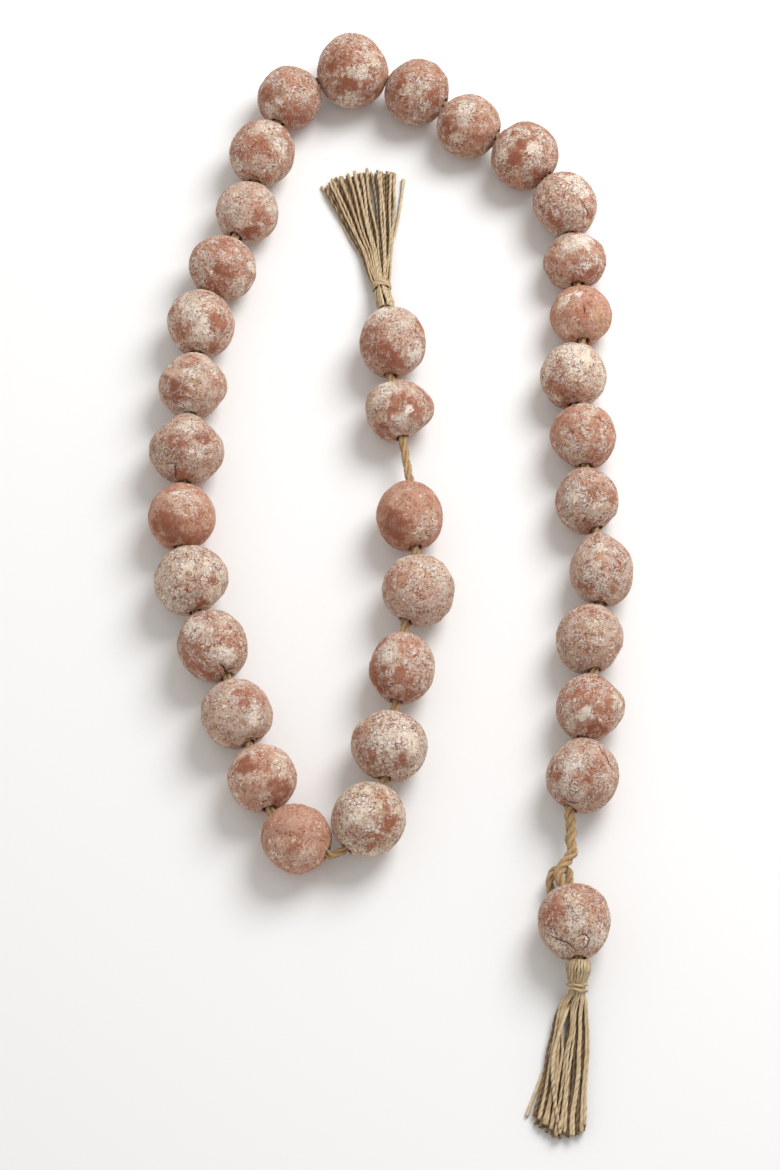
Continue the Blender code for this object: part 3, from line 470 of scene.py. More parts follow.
# bead: finish, first coat, then dabs of (across, up, size, wash), in hundredths of the half width
PAINTED = {
    "bead_01": ("mottled", "rose", ((-66, -10, 55, "rust"), (-10, -50, 45, "rust"),
        (68, -30, 28, "plaster"), (-10, 90, 35, "chalk"), (55, 70, 40, "cream"), (-20, -30, 30, "bare"))),
    "bead_02": ("mottled", "beige", ((-10, 30, 42, "rust"), (50, 10, 30, "rust"),
        (78, 45, 38, "salmon"), (-75, 10, 32, "grey"), (-45, 75, 38, "chalk"), (0, -30, 22, "chalk"),
        (-45, -60, 38, "bare"), (30, 10, 12, "plaster"))),
    "bead_03": ("smooth", "salmon", ((-50, -30, 55, "bare"), (58, -20, 40, "rose"),
        (35, -45, 28, "grey"), (10, 60, 50, "salmon"))),
    "bead_04": ("mottled", "beige", ((-70, 25, 50, "salmon"), (62, 55, 40, "cream"),
        (10, -10, 40, "rose"))),
    "bead_05": ("mottled", "rose", ((-80, -10, 50, "rust"), (-40, 50, 28, "chalk"),
        (60, -10, 42, "rose"), (30, 62, 38, "salmon"), (0, -20, 32, "rust"), (-20, -65, 25, "beige"),
        (25, -78, 34, "rust"), (-55, -45, 36, "bare"))),
    "bead_06": ("crackled", "cream", ((-75, 35, 38, "salmon"), (-25, 10, 40, "chalk"),
        (35, 55, 45, "chalk"), (50, 10, 38, "plaster"), (-55, -42, 36, "rust"), (30, -48, 30, "rust"),
        (30, -85, 25, "beige"))),
    "bead_07": ("crackled", "cream", ((-30, 35, 36, "plaster"), (50, -10, 38, "bare"),
        (20, -50, 32, "rust"), (42, 62, 18, "sand"), (-80, 10, 28, "rose"), (-30, -45, 26, "rose"))),
    "bead_08": ("smooth", "salmon", ((-10, 50, 50, "salmon"), (25, 20, 35, "salmon"),
        (-12, -35, 26, "rust"), (-58, -45, 36, "rose"), (30, -55, 40, "beige"))),
    "bead_09": ("smooth", "rose", ((5, 55, 34, "salmon"), (60, 35, 26, "cream"),
        (50, -30, 40, "bare"), (-40, -50, 42, "salmon"), (5, -70, 20, "rose"), (-55, 35, 30, "bare"))),
    "bead_10": ("mottled", "beige", ((20, 40, 34, "rust"), (66, 45, 28, "salmon"),
        (50, -10, 32, "chalk"), (-60, 50, 35, "grey"), (50, -75, 22, "sand"))),
    "bead_11": ("mottled", "tan", ((-60, 50, 36, "chalk"), (-15, 20, 26, "grey"),
        (30, -30, 30, "plaster"), (30, 42, 32, "salmon"), (-60, -35, 42, "rust"), (5, -75, 36, "rust"),
        (35, 80, 30, "cream"))),
    "bead_12": ("crackled", "cream", ((-15, 40, 20, "plaster"), (10, -20, 36, "rose"),
        (60, 30, 30, "chalk"), (-50, -55, 36, "chalk"), (62, 0, 16, "rust"), (24, -60, 26, "rust"))),
    "bead_13": ("smooth", "salmon", ((-42, -30, 50, "bare"), (50, -58, 40, "rust"),
        (10, 55, 50, "beige"), (-20, 78, 16, "cream"))),
    "bead_14": ("rough", "beige", ((0, 65, 28, "chalk"), (-34, 16, 36, "rust"), (50, 24, 22, "bare"),
        (35, -10, 24, "chalk"), (-15, -72, 28, "rust"), (-80, -10, 30, "grey"), (60, -40, 30, "beige"))),
    "bead_15": ("mottled", "beige", ((-55, -12, 45, "bare"), (78, 15, 35, "salmon"),
        (-10, 78, 36, "salmon"), (15, 45, 30, "cream"), (-20, -72, 26, "chalk"))),
    "bead_16": ("mottled", "rose", ((-25, 45, 36, "chalk"), (5, -20, 32, "plaster"),
        (58, 0, 35, "rust"), (-55, -18, 28, "rust"), (35, -75, 26, "rust"), (-30, 80, 28, "cream"))),
    "bead_17": ("mottled", "tan", ((0, -10, 42, "bare"), (-58, 15, 36, "rose"),
        (35, 45, 36, "salmon"), (10, 85, 28, "rust"), (50, -52, 26, "cream"), (92, 5, 25, "chalk"),
        (-10, -55, 36, "rust"))),
    "bead_18": ("mottled", "beige", ((-50, 20, 46, "grey"), (30, 30, 32, "salmon"),
        (50, -30, 38, "rust"), (10, -70, 30, "bare"), (-55, -45, 30, "rose"), (80, 15, 26, "cream"))),
    "bead_19": ("mottled", "tan", ((-10, 35, 32, "rust"), (20, 80, 42, "cream"),
        (65, 30, 28, "chalk"), (-60, 0, 34, "rust"), (0, -30, 30, "beige"), (45, -78, 38, "salmon"),
        (-70, -35, 18, "chalk"))),
    "bead_20": ("mottled", "tan", ((-65, 10, 28, "bare"), (0, -45, 34, "rust"), (50, -60, 32, "rust"),
        (-62, -40, 26, "chalk"), (35, 20, 34, "grey"), (0, 72, 45, "salmon"))),
    "bead_21": ("mottled", "tan", ((-15, -38, 42, "bare"), (-40, 20, 42, "bare"),
        (48, -42, 32, "bare"), (28, 2, 24, "chalk"), (2, -2, 20, "cream"), (60, 28, 28, "cream"),
        (-8, -76, 24, "chalk"), (0, 84, 14, "sand"), (85, -15, 26, "sand"))),
    "bead_22": ("rough", "tan", ((-50, 30, 28, "bare"), (55, -10, 28, "bare"), (0, 20, 34, "grey"),
        (55, 60, 36, "salmon"), (-60, -50, 38, "salmon"), (0, 82, 34, "salmon"))),
    "bead_23": ("mottled", "tan", ((-10, 58, 30, "chalk"), (-25, 10, 26, "grey"),
        (55, 15, 42, "salmon"), (40, -30, 28, "rust"), (-62, -10, 40, "bare"), (0, -78, 36, "salmon"),
        (-40, -40, 22, "cream"))),
    "bead_24": ("crackled", "tan", ((-38, 42, 22, "cream"), (-5, 66, 24, "cream"),
        (25, 22, 26, "plaster"), (38, -12, 24, "cream"), (60, 50, 24, "cream"), (-72, -8, 30, "chalk"),
        (-10, 32, 18, "bare"), (-35, -5, 24, "bare"), (50, -45, 28, "bare"), (0, 92, 24, "salmon"),
        (-10, -80, 30, "sand"))),
    "bead_25": ("crackled", "rose", ((-25, -38, 36, "rust"), (-35, 12, 30, "rose"),
        (30, 70, 44, "plaster"), (-10, 60, 30, "cream"), (20, -20, 32, "grey"), (10, -76, 26, "beige"),
        (74, -25, 18, "rust"))),
    "bead_26": ("mottled", "tan", ((20, 75, 42, "plaster"), (-62, 0, 38, "salmon"),
        (10, 10, 28, "rust"), (42, -10, 18, "chalk"), (62, -36, 22, "bare"), (0, -45, 26, "rust"),
        (-40, -76, 34, "beige"), (78, 30, 26, "salmon"), (-25, 55, 26, "cream"))),
    "bead_27": ("smooth", "salmon", ((10, 0, 30, "rust"), (5, -42, 24, "rust"),
        (-60, 50, 26, "cream"), (-10, 76, 16, "chalk"), (-42, -42, 42, "rose"), (62, 0, 36, "sand"))),
    "bead_28": ("crackled", "cream", ((10, 70, 50, "plaster"), (-52, -38, 40, "rust"),
        (-10, -66, 34, "bare"), (35, -60, 24, "rust"), (50, -20, 30, "beige"), (-42, 20, 34, "rose"))),
    "bead_29": ("mottled", "salmon", ((-52, -8, 42, "tan"), (-30, -48, 40, "rose"),
        (40, -55, 30, "rust"), (20, 72, 18, "cream"), (72, 30, 32, "salmon"))),
    "bead_30": ("rough", "rose", ((-40, 10, 34, "chalk"), (-50, -45, 30, "grey"),
        (25, 35, 32, "rust"), (82, 10, 26, "rust"), (10, -82, 32, "salmon"), (30, -40, 30, "grey"),
        (-10, 86, 28, "beige"))),
    "bead_31": ("rough", "beige", ((0, 65, 22, "plaster"), (5, 30, 26, "sand"),
        (-20, -20, 42, "cream"), (52, 20, 42, "rose"), (30, -50, 22, "rust"), (-50, -42, 24, "rust"),
        (60, -80, 26, "sand"))),
    "bead_32": ("rough", "beige", ((20, 45, 40, "cream"), (-30, 55, 26, "salmon"),
        (15, 78, 16, "rust"), (-42, -25, 34, "rose"), (76, -20, 28, "salmon"), (10, -40, 34, "rose"))),
    "bead_33": ("mottled", "tan", ((-45, 30, 38, "rust"), (30, 35, 36, "salmon"),
        (-15, -30, 26, "plaster"), (52, -10, 36, "rust"), (-55, -50, 24, "cream"), (0, -68, 40, "bare"),
        (82, 20, 24, "cream"))),
    "bead_34": ("rough", "beige", ((-76, 10, 28, "rust"), (-50, 62, 30, "rose"), (4, 2, 30, "rust"),
        (30, -56, 22, "rust"), (56, 38, 26, "salmon"), (-25, 30, 30, "chalk"), (-30, -32, 30, "chalk"),
        (-50, -80, 28, "rust"))),
    "bead_35": ("crackled", "rose", ((-5, 62, 30, "cream"), (8, 10, 34, "chalk"),
        (46, 22, 20, "sand"), (-62, 20, 40, "rust"), (78, -30, 30, "chalk"), (42, -58, 22, "plaster"),
        (-50, -58, 30, "chalk"), (10, -42, 26, "cream"), (30, 88, 28, "salmon"))),
}
print("beads with a wash of their own:", len(PAINTED))

# %% [markdown]
# Thumbs and drying leave marks that no wash can give: a dent, the rim of a flap of clay, a crack
# that runs out from the hole. Each mark is a line of places on a bead's upper side. The skin is
# pressed in along it, and where clay has parted a narrow dark strip is laid in the groove later.

# %% Marks pressed into the clay
# bead, groove's depth in millimetres, its half width as a share of the bead's half width,
# strip's width in millimetres (0 for none), how brown the strip is, and the places,
# across and up from the bead's middle in hundredths of its half width
MARKS = (
    ("bead_02", 0.7, 0.14, 0.0, 0.0, ((-50, -10), (-10, 2), (30, 24))),
    ("bead_04", 1.1, 0.1, 0.0, 0.0, ((90, -24), (100, -20))),
    ("bead_08", 0.7, 0.16, 0.0, 0.0, ((-70, 6), (-10, 4), (60, -16))),
    ("bead_09", 0.8, 0.14, 0.0, 0.0, ((-40, 10), (-10, 30), (24, 28))),
    ("bead_10", 1.1, 0.09, 0.9, 0.7, ((20, -70), (38, -66), (55, -69), (74, -60))),
    ("bead_11", 0.9, 0.08, 1.0, 0.0, ((45, -88), (36, -70), (32, -60), (20, -50))),
    ("bead_11", 0.5, 0.07, 0.7, 0.2, ((38, -72), (50, -66), (64, -62))),
    ("bead_13", 0.6, 0.08, 0.8, 0.3, ((-34, -86), (-10, -91), (20, -90))),
    ("bead_14", 1.6, 0.13, 0.0, 0.0, ((34, 24), (52, 26))),
    ("bead_14", 0.9, 0.1, 0.0, 0.0, ((10, 2), (34, -6))),
    ("bead_14", 0.6, 0.08, 0.8, 0.1, ((-27, -34), (-31, -50), (-28, -62), (-31, -76))),
    ("bead_14", 0.4, 0.07, 0.5, 0.4, ((-50, -40), (-38, -37), (-25, -38))),
    ("bead_15", 0.7, 0.14, 0.0, 0.0, ((-60, 40), (-20, 56), (30, 50))),
    ("bead_17", 0.6, 0.1, 0.6, 0.6, ((-36, 2), (-20, -6), (-16, -22))),
    ("bead_21", 0.7, 0.08, 0.5, 0.8, ((-19, 82), (-12, 88), (-5, 83), (-12, 77), (-19, 81))),
    ("bead_25", 0.8, 0.09, 0.6, 0.5, ((48, 20), (62, -4), (72, -22), (68, -40))),
    ("bead_27", 0.6, 0.09, 0.8, 0.6, ((8, 34), (13, 20), (10, 6))),
    ("bead_29", 0.4, 0.06, 0.6, 0.6, ((-32, 16), (-26, 12))),
    ("bead_29", 0.4, 0.06, 0.6, 0.6, ((0, -8), (6, -6))),
    ("bead_29", 0.5, 0.07, 0.5, 1.0, ((24, 62), (46, 58), (66, 40), (78, 26))),
    ("bead_34", 1.3, 0.09, 0.7, 1.0, ((46, 84), (54, 66), (68, 50), (76, 28), (90, 12))),
    ("bead_34", 0.8, 0.09, 0.8, 0.8, ((-58, -62), (-36, -74), (-8, -76))),
    ("bead_35", 0.8, 0.08, 0.8, 1.0, ((-84, -30), (-48, -46), (-14, -60), (6, -82))),
    ("bead_35", 0.8, 0.08, 0.8, 0.8, ((12, -38), (30, -34), (42, -48), (36, -66), (16, -82))),
)


def shares(places):
    """Places in hundredths as shares of the half width."""
    return [(across / 100, high / 100) for across, high in places]


def off_line(spots, places):
    """How far each spot is from a line of places, both on the plane as it is seen."""
    nearest_yet = np.full(len(spots), np.inf)
    for start, end in zip(places[:-1], places[1:]):
        start, end = np.array(start), np.array(end)
        share = np.clip((spots - start) @ (end - start) / ((end - start) @ (end - start)), 0, 1)
        apart = np.linalg.norm(spots - start - share[:, None] * (end - start), axis=1)
        nearest_yet = np.minimum(nearest_yet, apart)
    return nearest_yet


def pressed_in(name, ways, toward, right, up):
    """How deep the marks of one bead press its skin in, in each of ways."""
    spots = np.stack([ways @ np.array(right), ways @ np.array(up)], axis=1)
    facing = (ways @ np.array(toward)) > 0
    depth = np.zeros(len(ways))
    for bead_name, deep, wide, _, _, places in MARKS:
        if bead_name == name:
            depth += deep * MM * np.exp(-(off_line(spots, shares(places)) / wide) ** 2) * facing
    return depth


print("marks:", len(MARKS))

# %% [markdown]
# The frame's beads are cut with few faces, which is right for collisions but not for looking at.
# A finer skin could be made with a subdivision surface, but that would shrink the bead and pinch
# the hole. Instead each bead is wrapped in rings of points round its own bore. The bore's two
# mouths are found from the bead's only long edges, which run from one mouth to the other.

# %% Finding a bead's bore
LONG_EDGE = 20 * MM


def bore_of(node):
    """The middles of the two mouths of the bore."""
    mesh = frame["nodes"][node].data
    lengths = []
    for edge in mesh.edges:
        one, two = (mesh.vertices[number].co for number in edge.vertices)
        if (one - two).length > LONG_EDGE:
            lengths.append((one.copy(), two.copy()))
    way = (lengths[0][1] - lengths[0][0]).normalized()
    firsts, lasts = {}, {}
    for one, two in lengths:
        if (two - one).dot(way) < 0:
            one, two = two, one
        firsts[tuple(round(c, 7) for c in one)] = one
        lasts[tuple(round(c, 7) for c in two)] = two
    return sum(firsts.values(), Vector()) / len(firsts), sum(lasts.values(), Vector()) / len(lasts)


BORES = {}
nearest = sum(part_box("tassel_a"), Vector()) / 2
for name in PAINTED:
    BORES[name] = sorted(bore_of(name), key=lambda mouth: (mouth - nearest).length)
    nearest = BORES[name][1]
print("bore of bead_01 in mm:", millimetres(BORES["bead_01"]))

# %% [markdown]
# Three small helpers serve every piece that is made in mesh code: faces between rings of
# points, a tree that rays can hit, and the object itself, with what its finish will read
# painted on it. Each piece rides on the frame's one body and hides any node it stands for.

# %% Making a piece
FIELDS = {"FLOAT": "value", "FLOAT_VECTOR": "vector", "FLOAT_COLOR": "color"}


def ring_faces(rings, sides, closed):
    """Four-cornered faces between each ring of points and the next, closed as a tyre or open."""
    step = np.arange(sides)
    after = (step + 1) % sides
    faces = []
    for ring in range(rings if closed else rings - 1):
        here, there = ring * sides, ((ring + 1) % rings) * sides
        faces.append(np.stack([here + step, here + after, there + after, there + step], axis=1))
    return np.concatenate(faces)


def surface(mesh):
    """A mesh as a tree that rays can hit."""
    return BVHTree.FromPolygons([v.co for v in mesh.vertices], [p.vertices for p in mesh.polygons])


def make_piece(name, points, faces, measures, finish, nodes):
    """A new object from points and faces, in metres, that stands for nodes of the frame."""
    mesh = bpy.data.meshes.new(name)
    mesh.from_pydata(points, [], faces)
    for label, kind, values in measures:
        layers = mesh.color_attributes if kind == "FLOAT_COLOR" else mesh.attributes
        layer = layers.new(label, kind, "POINT")
        layer.data.foreach_set(FIELDS[kind], np.asarray(values, np.float32).ravel())
    mesh.shade_smooth()
    mesh.materials.append(finish)
    piece = stand(name, mesh)
    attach(piece, "root")
    if nodes:
        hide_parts(*nodes)
    return piece


print("ready to make pieces")

# %% [markdown]
# Every point of the skin takes the average of the frame's radius in the directions near it,
# which keeps the pressed flats and swells and loses the facets. Noise in three dimensions
# gives the small forms, so there is no seam anywhere.

# %% A bead's radius
RAYS = 1500
RAY_START = 60
LEAST_REACH = 10 * MM
SPREAD = math.radians(7.5)
FADE, FINER = 0.8, 2.1


def radius_samples(node, centre):
    """Directions all round a bead's centre, and how far the frame's skin is in each of them."""
    tree = surface(frame["nodes"][node].data)
    ways, reaches = [], []
    for k in range(RAYS):
        up = 1 - 2 * (k + 0.5) / RAYS
        turn = k * math.pi * (3 - math.sqrt(5))
        flat = math.sqrt(1 - up * up)
        way = Vector((flat * math.cos(turn), flat * math.sin(turn), up))
        hit = tree.ray_cast(centre + way * RAY_START * MM, -way)[0]
        reach = (hit - centre).length if hit else 0.0
        if reach > LEAST_REACH:
            ways.append(way)
            reaches.append(reach)
    return np.array(ways), np.array(reaches)


def smoothed(samples, ways):
    """The frame's radius in each of ways, averaged over the directions near it."""
    near = np.exp((ways @ samples[0].T - 1) / SPREAD ** 2)
    return (near @ samples[1]) / near.sum(axis=1)


def fractal(points, size, octaves, shift):
    """Noise of about -1 to 1 at each point, with blotches of size in millimetres."""
    scale = 1 / (size * MM)
    away = Vector((shift, -shift, shift * 0.37))
    return np.array([noise.fractal(Vector(p) * scale + away, FADE, FINER, octaves) for p in points])


print("rays for each bead:", RAYS)

# %% [markdown]
# The dabs of a bead's row are laid one over another on its skin, with ragged edges. The
# underside gets dabs of the same kinds at random places, since nobody chose those either.

# %% Laying the washes
EYE_RIGHT = Vector((1.0, 0.0, 0.0))
HIDDEN_DABS, HIDDEN_SIZES, HIDDEN_BELOW = 9, (0.25, 0.45), 0.05
DAB_RAGGED = 0.8
DAB_REACH, DAB_FADE, DAB_SHARE = 1.3, 0.7, 0.95
COVER_SWING, CRUST_SWING = 0.16, 0.22


def as_seen(name):
    """A bead's middle, the ways toward the eye, right and up, and its half width."""
    low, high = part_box(name)
    middle = (low + high) / 2
    toward = (EYE - middle).normalized()
    up = toward.cross(EYE_RIGHT).normalized()
    right = up.cross(toward).normalized()
    return middle, toward, right, up, (high.x - low.x) / 2


def lay_wash(name, ways, points, toward, right, up):
    """The film's colour and cover, the chalk and the grain at each point of a bead's skin."""
    _, first, dabs = PAINTED[name]
    rng = random.Random("hidden side of " + name)
    placed = []
    for across, high, size, wash in dabs:
        across, high = across / 100, high / 100
        depth = math.sqrt(max(0.0, 1 - across * across - high * high))
        placed.append((right * across + up * high + toward * depth, size / 100, wash))
    for _ in range(HIDDEN_DABS):
        way = Vector((rng.gauss(0, 1), rng.gauss(0, 1), rng.gauss(0, 1))).normalized()
        size, wash = rng.uniform(*HIDDEN_SIZES), rng.choice([dab[3] for dab in dabs])
        if way.dot(toward) < HIDDEN_BELOW:
            placed.append((way, size, wash))
    wander = fractal(points, size=5.0, octaves=6, shift=11.3)
    coat = np.tile(WASHES[first], (len(points), 1))
    for way, size, wash in placed:
        apart = np.arccos(np.clip(ways @ np.array(way.normalized()), -1, 1))
        edge = apart / size + DAB_RAGGED * wander
        share = np.clip((DAB_REACH - edge) / DAB_FADE, 0, 1)
        share = (DAB_SHARE * share * share * (3 - 2 * share))[:, None]
        coat = coat * (1 - share) + np.array(WASHES[wash]) * share
    coat[:, 3] += COVER_SWING * fractal(points, size=4.0, octaves=3, shift=23.7)
    coat[:, 3] = np.clip(coat[:, 3], 0.0, 1.0)
    coat[:, 4] += CRUST_SWING * fractal(points, size=3.6, octaves=4, shift=41.9)
    return coat


print("dabs placed by hand:", sum(len(row[2]) for row in PAINTED.values()))

# %% [markdown]
# The small shapes come last: shallow lumps left by the palms, a grain, and dried wash that
# stands a little proud where the paint is chalky. They are moved in the mesh itself, so they
# still show at the outline and from the side. The hole's lip is rounded and a bit uneven, as
# a stick leaves it when it is pushed through wet clay.

# %% Skin of a bead
SIDES, BANDS = 104, 76
SWELL = 1.012
LIP_RADIUS = 3.9 * MM
LUMP, LUMP_SIZE = 0.42 * MM, 9.0
GRAIN, GRAIN_SIZE = 0.16 * MM, 3.4
CHALK_RISE, CHALK_SWING, CHALK_FROM, CHALK_OVER = 0.16 * MM, 0.5, 0.35, 0.3
# how far in from the mouth, and the radius there, both in millimetres
LIP = ((0.10, 3.45), (0.45, 3.12), (1.1, 3.0), (5.0, 3.0))
LIP_WAVES, LIP_WOBBLE, LIP_TURN, LIP_OWN_TURN = 3, 0.10, 7, 90


def close_bore(skin, wobble, spokes, centre, axis):
    """All rings of a bead: its skin, with a rounded lip and a stretch of bore at both ends."""
    rings = [skin]
    for depth_in, radius in LIP:
        out = spokes * (radius * MM * wobble)[:, None]
        first = (skin[:SIDES] - centre) @ axis + depth_in * MM
        last = (skin[-SIDES:] - centre) @ axis - depth_in * MM
        rings.insert(0, centre + axis * first[:, None] + out)
        rings.append(centre + axis * last[:, None] + out)
    return np.concatenate(rings)


def bead_skin(name):
    """The fine mesh of one bead, painted, standing over its node in the frame."""
    mouth_in, mouth_out = BORES[name]
    along = (mouth_out - mouth_in).normalized()
    middle, toward, right, up, _ = as_seen(name)
    centre = mouth_in + along * (middle - mouth_in).dot(along)
    left = Vector((-along.y, along.x, 0.0)).normalized()
    over = along.cross(left).normalized()
    turns = np.arange(SIDES) * 2 * math.pi / SIDES
    spokes = np.outer(np.cos(turns), left) + np.outer(np.sin(turns), over)
    first = math.atan2(LIP_RADIUS, (centre - mouth_in).length)
    last = math.pi - math.atan2(LIP_RADIUS, (mouth_out - centre).length)
    bands = [first + (last - first) * band / BANDS for band in range(BANDS + 1)]
    axis = np.array(along)
    ways = np.concatenate([spokes * math.sin(band) - axis * math.cos(band) for band in bands])
    reach = smoothed(radius_samples(name, centre), ways) * SWELL
    centre = np.array(centre)
    plain = centre + ways * reach[:, None]
    seen = plain - np.array(middle)
    seen /= np.linalg.norm(seen, axis=1)[:, None]
    coat = lay_wash(name, seen, plain, toward, right, up)
    chalk = coat[:, 4] + CHALK_SWING * fractal(plain, size=3.0, octaves=5, shift=3.1) - CHALK_FROM
    reach = reach + LUMP * fractal(plain, LUMP_SIZE, octaves=2, shift=0.7)
    reach = reach + GRAIN * fractal(plain, GRAIN_SIZE, octaves=3, shift=5.9)
    reach = reach + CHALK_RISE * np.clip(chalk / CHALK_OVER, 0, 1)
    reach = reach - pressed_in(name, seen, toward, right, up)
    skin = centre + ways * reach[:, None]
    skin[:, 2] = np.maximum(skin[:, 2], 0.0)
    wave = np.arange(SIDES) * 2 * math.pi * LIP_WAVES / SIDES
    wobble = 1 + LIP_WOBBLE * np.sin(wave + LIP_TURN + coat[0, 0] * LIP_OWN_TURN)
    points = close_bore(skin, wobble, spokes, centre, axis)
    inner = np.tile(WASHES["bare"], (SIDES * len(LIP), 1))
    coat = np.concatenate([inner, coat, inner])
    measures = (("film", "FLOAT_COLOR", coat[:, :4]), ("crust", "FLOAT", coat[:, 4]),
                ("grain", "FLOAT", coat[:, 5]))
    faces = ring_faces(len(points) // SIDES, SIDES, closed=True)
    finish = CLAYS[PAINTED[name][0]]
    return make_piece("clay_" + name, points.tolist(), faces.tolist(), measures, finish, [name])


for name in PAINTED:
    bead = bead_skin(name)
print("last bead has", len(bead.data.polygons), "faces")

# %% [markdown]
# In the deepest marks the clay has parted, and no light comes back out. A crack that thin is
# finer than the skin's mesh, so it is a narrow dark strip that follows the groove. Rays from
# the side of the camera find where the skin lies, and the strip narrows towards both ends.

# %% Drying cracks
CRACK_DARK = linear(74, 44, 32)
CRACK_BROWN = linear(134, 84, 62)
CRACK_LIFT = 0.06 * MM
LEG_STEPS = 9
CRACK_BEND, CRACK_WAVE, CRACK_SHAKE = 0.012, 1.7, 0.008
CRACK_TAPER, CRACK_WIDTHS = 0.6, (0.75, 1.1)


def crack_finish():
    """The shade down in a crack, browner where its sides catch some light."""
    finish, tree, shader = blank_finish("crack shade", specular=0.2)
    depth = threshold(cloud(in_millimetres(tree), 1.8, 3.0), 0.35, 0.65)
    brown = measure(tree, "brown")["Fac"]
    tone = plus(times(depth, 0.3), times(brown, 0.7))
    wire(blended(tone, CRACK_DARK, CRACK_BROWN), shader.inputs["Base Color"])
    wire(minus(0.95, times(depth, 0.1)), shader.inputs["Roughness"])
    lift(shader, depth, 0.5, 0.2)
    return finish


def crack_strip(name, widest, places, rng):
    """Left and right edge points of one crack on the skin of a bead."""
    tree = surface(bpy.data.objects["clay_" + name].data)
    middle, toward, right, up, half = as_seen(name)
    steps = LEG_STEPS * (len(places) - 1)
    edges = []
    for k in range(steps + 1):
        leg = min(k // LEG_STEPS, len(places) - 2)
        part = k / LEG_STEPS - leg
        start, end = places[leg], places[leg + 1]
        spot = [start[i] + (end[i] - start[i]) * part for i in (0, 1)]
        ahead = Vector((end[0] - start[0], end[1] - start[1])).normalized()
        bend = CRACK_BEND * math.sin(k * CRACK_WAVE) + rng.uniform(-CRACK_SHAKE, CRACK_SHAKE)
        narrowed = math.sin(math.pi * (k + 0.3) / (steps + 0.6)) ** CRACK_TAPER
        wide = 0.5 * widest * narrowed * rng.uniform(*CRACK_WIDTHS)
        pair = []
        for side in (-1, 1):
            shift = side * wide * MM / half + bend
            across, above = spot[0] - ahead.y * shift, spot[1] + ahead.x * shift
            origin = middle + (right * across + up * above) * half + toward * RAY_START * MM
            hit = tree.ray_cast(origin, -toward)[0]
            pair.append(hit + toward * CRACK_LIFT if hit else None)
        if None not in pair:
            edges.append(pair)
    return edges


points, faces, browns = [], [], []
rng = random.Random("drying cracks")
for name, _, _, widest, brown, places in MARKS:
    if widest > 0.0:
        edges = crack_strip(name, widest, shares(places), rng)
        first = len(points)
        points += [tuple(point) for pair in edges for point in pair]
        browns += [brown] * (2 * len(edges))
        faces += [(k, k + 1, k + 3, k + 2) for k in range(first, len(points) - 2, 2)]
make_piece(
    "drying_cracks", points, faces, [("brown", "FLOAT", browns)], crack_finish(), [])
print("cracks have", len(faces), "faces")

# %% [markdown]
# Jute is a coarse golden fibre. Its finish must run along the yarn whichever way the yarn turns,
# so every yarn carries its own measure: how far round and how far along each point is, and a
# number that differs from yarn to yarn. Noise stretched along that measure gives the fibres, and
# painted shade darkens the grooves between plies, each yarn's underside and the inner strands.

# %% Jute finishes
# painted shade: the colour that grooves, yarn undersides and inner strands are darkened to
JUTE_SHADE = linear(96, 68, 43)
FIBRE_TONE, STAIN_TONE, OWN_TONE = 0.56, 0.18, 0.34


def make_jute_fibre():
    """Long fibres along a yarn: their light and dark, and their height."""
    tree, given, result = new_group(
        "jute fibre", "Lay", {"Fibre": 0.12, "Length": 5.0}, {"Shade": "Float", "Height": "Float"})
    apart = put("SeparateXYZ", {0: given["Lay"]}).outputs
    thin = sums("DIVIDE", apart["X"], given["Fibre"])
    long = sums("DIVIDE", apart["Y"], given["Length"])
    other = times(apart["Z"], 37.0)
    stretched = put("CombineXYZ", {0: thin, 1: long, 2: other}).outputs[0]
    threads = cloud(stretched, 1.0, 3.0, 0.6, 0.2)
    wire(threshold(threads, 0.3, 0.72), result["Shade"])
    wire(threads, result["Height"])
    return tree


JUTE_FIBRE = make_jute_fibre()


def jute_finish(name, pale, brown, fibre, groove_shade):
    """Dry jute yarn, pale on the ridges of its twist and darkened by painted shade in its grooves and on
    its undersides.
    """
    finish, tree, shader = blank_finish(name, specular=0.22)
    lay = measure(tree, "lay")["Vector"]
    fibres = use(JUTE_FIBRE, {"Lay": lay, "Fibre": fibre, "Length": 4.0})
    stain = threshold(cloud(in_millimetres(tree), 6.0, 3.0), 0.35, 0.65)
    own = put("SeparateXYZ", {0: lay}).outputs["Z"]
    tone = plus(times(fibres["Shade"], FIBRE_TONE), times(stain, STAIN_TONE),
                times(own, OWN_TONE))
    coloured = blended(tone, linear(*brown), linear(*pale))
    # painted shade in the grooves, on undersides and on inner strands, as painted on the mesh
    painted_shade = threshold(measure(tree, "painted_shade")["Fac"], 0.15, 1.1)
    coloured = blended(times(painted_shade, groove_shade), coloured, JUTE_SHADE)
    wire(coloured, shader.inputs["Base Color"])
    wire(minus(0.92, times(fibres["Shade"], 0.14)), shader.inputs["Roughness"])
    lift(shader, fibres["Height"], 0.9, 0.26)
    return finish


CORD_JUTE = jute_finish("jute cord", (208, 177, 134), (132, 95, 60), 0.34, 0.92)
STRAND_JUTE = jute_finish("jute strand", (238, 219, 183), (162, 127, 87), 0.24, 0.86)
TWINE_JUTE = jute_finish("jute twine", (226, 202, 162), (178, 146, 104), 0.14, 0.80)
print("jute finishes:", CORD_JUTE.name, STRAND_JUTE.name, TWINE_JUTE.name)

# %% [markdown]
# A yarn could be a curve with a round bevel, but then its twist would only be painted on. Here
# it is swept by hand: rings of points along a line, whose outline is lobed like two or more
# plies laid together, and turns as it goes. A Bundle collects many sweeps into one piece.

# %% Spinning yarn
# painted shade on the undersides of yarns: how strong, from how far up it starts, and at most
FLANK_SHADE, FLANK_FROM, FLANK_MOST = 0.80, 0.45, 0.8
FULL_LOBE, LOBE_POWER = 0.34, 1.5
CAP_GROOVE = 0.4


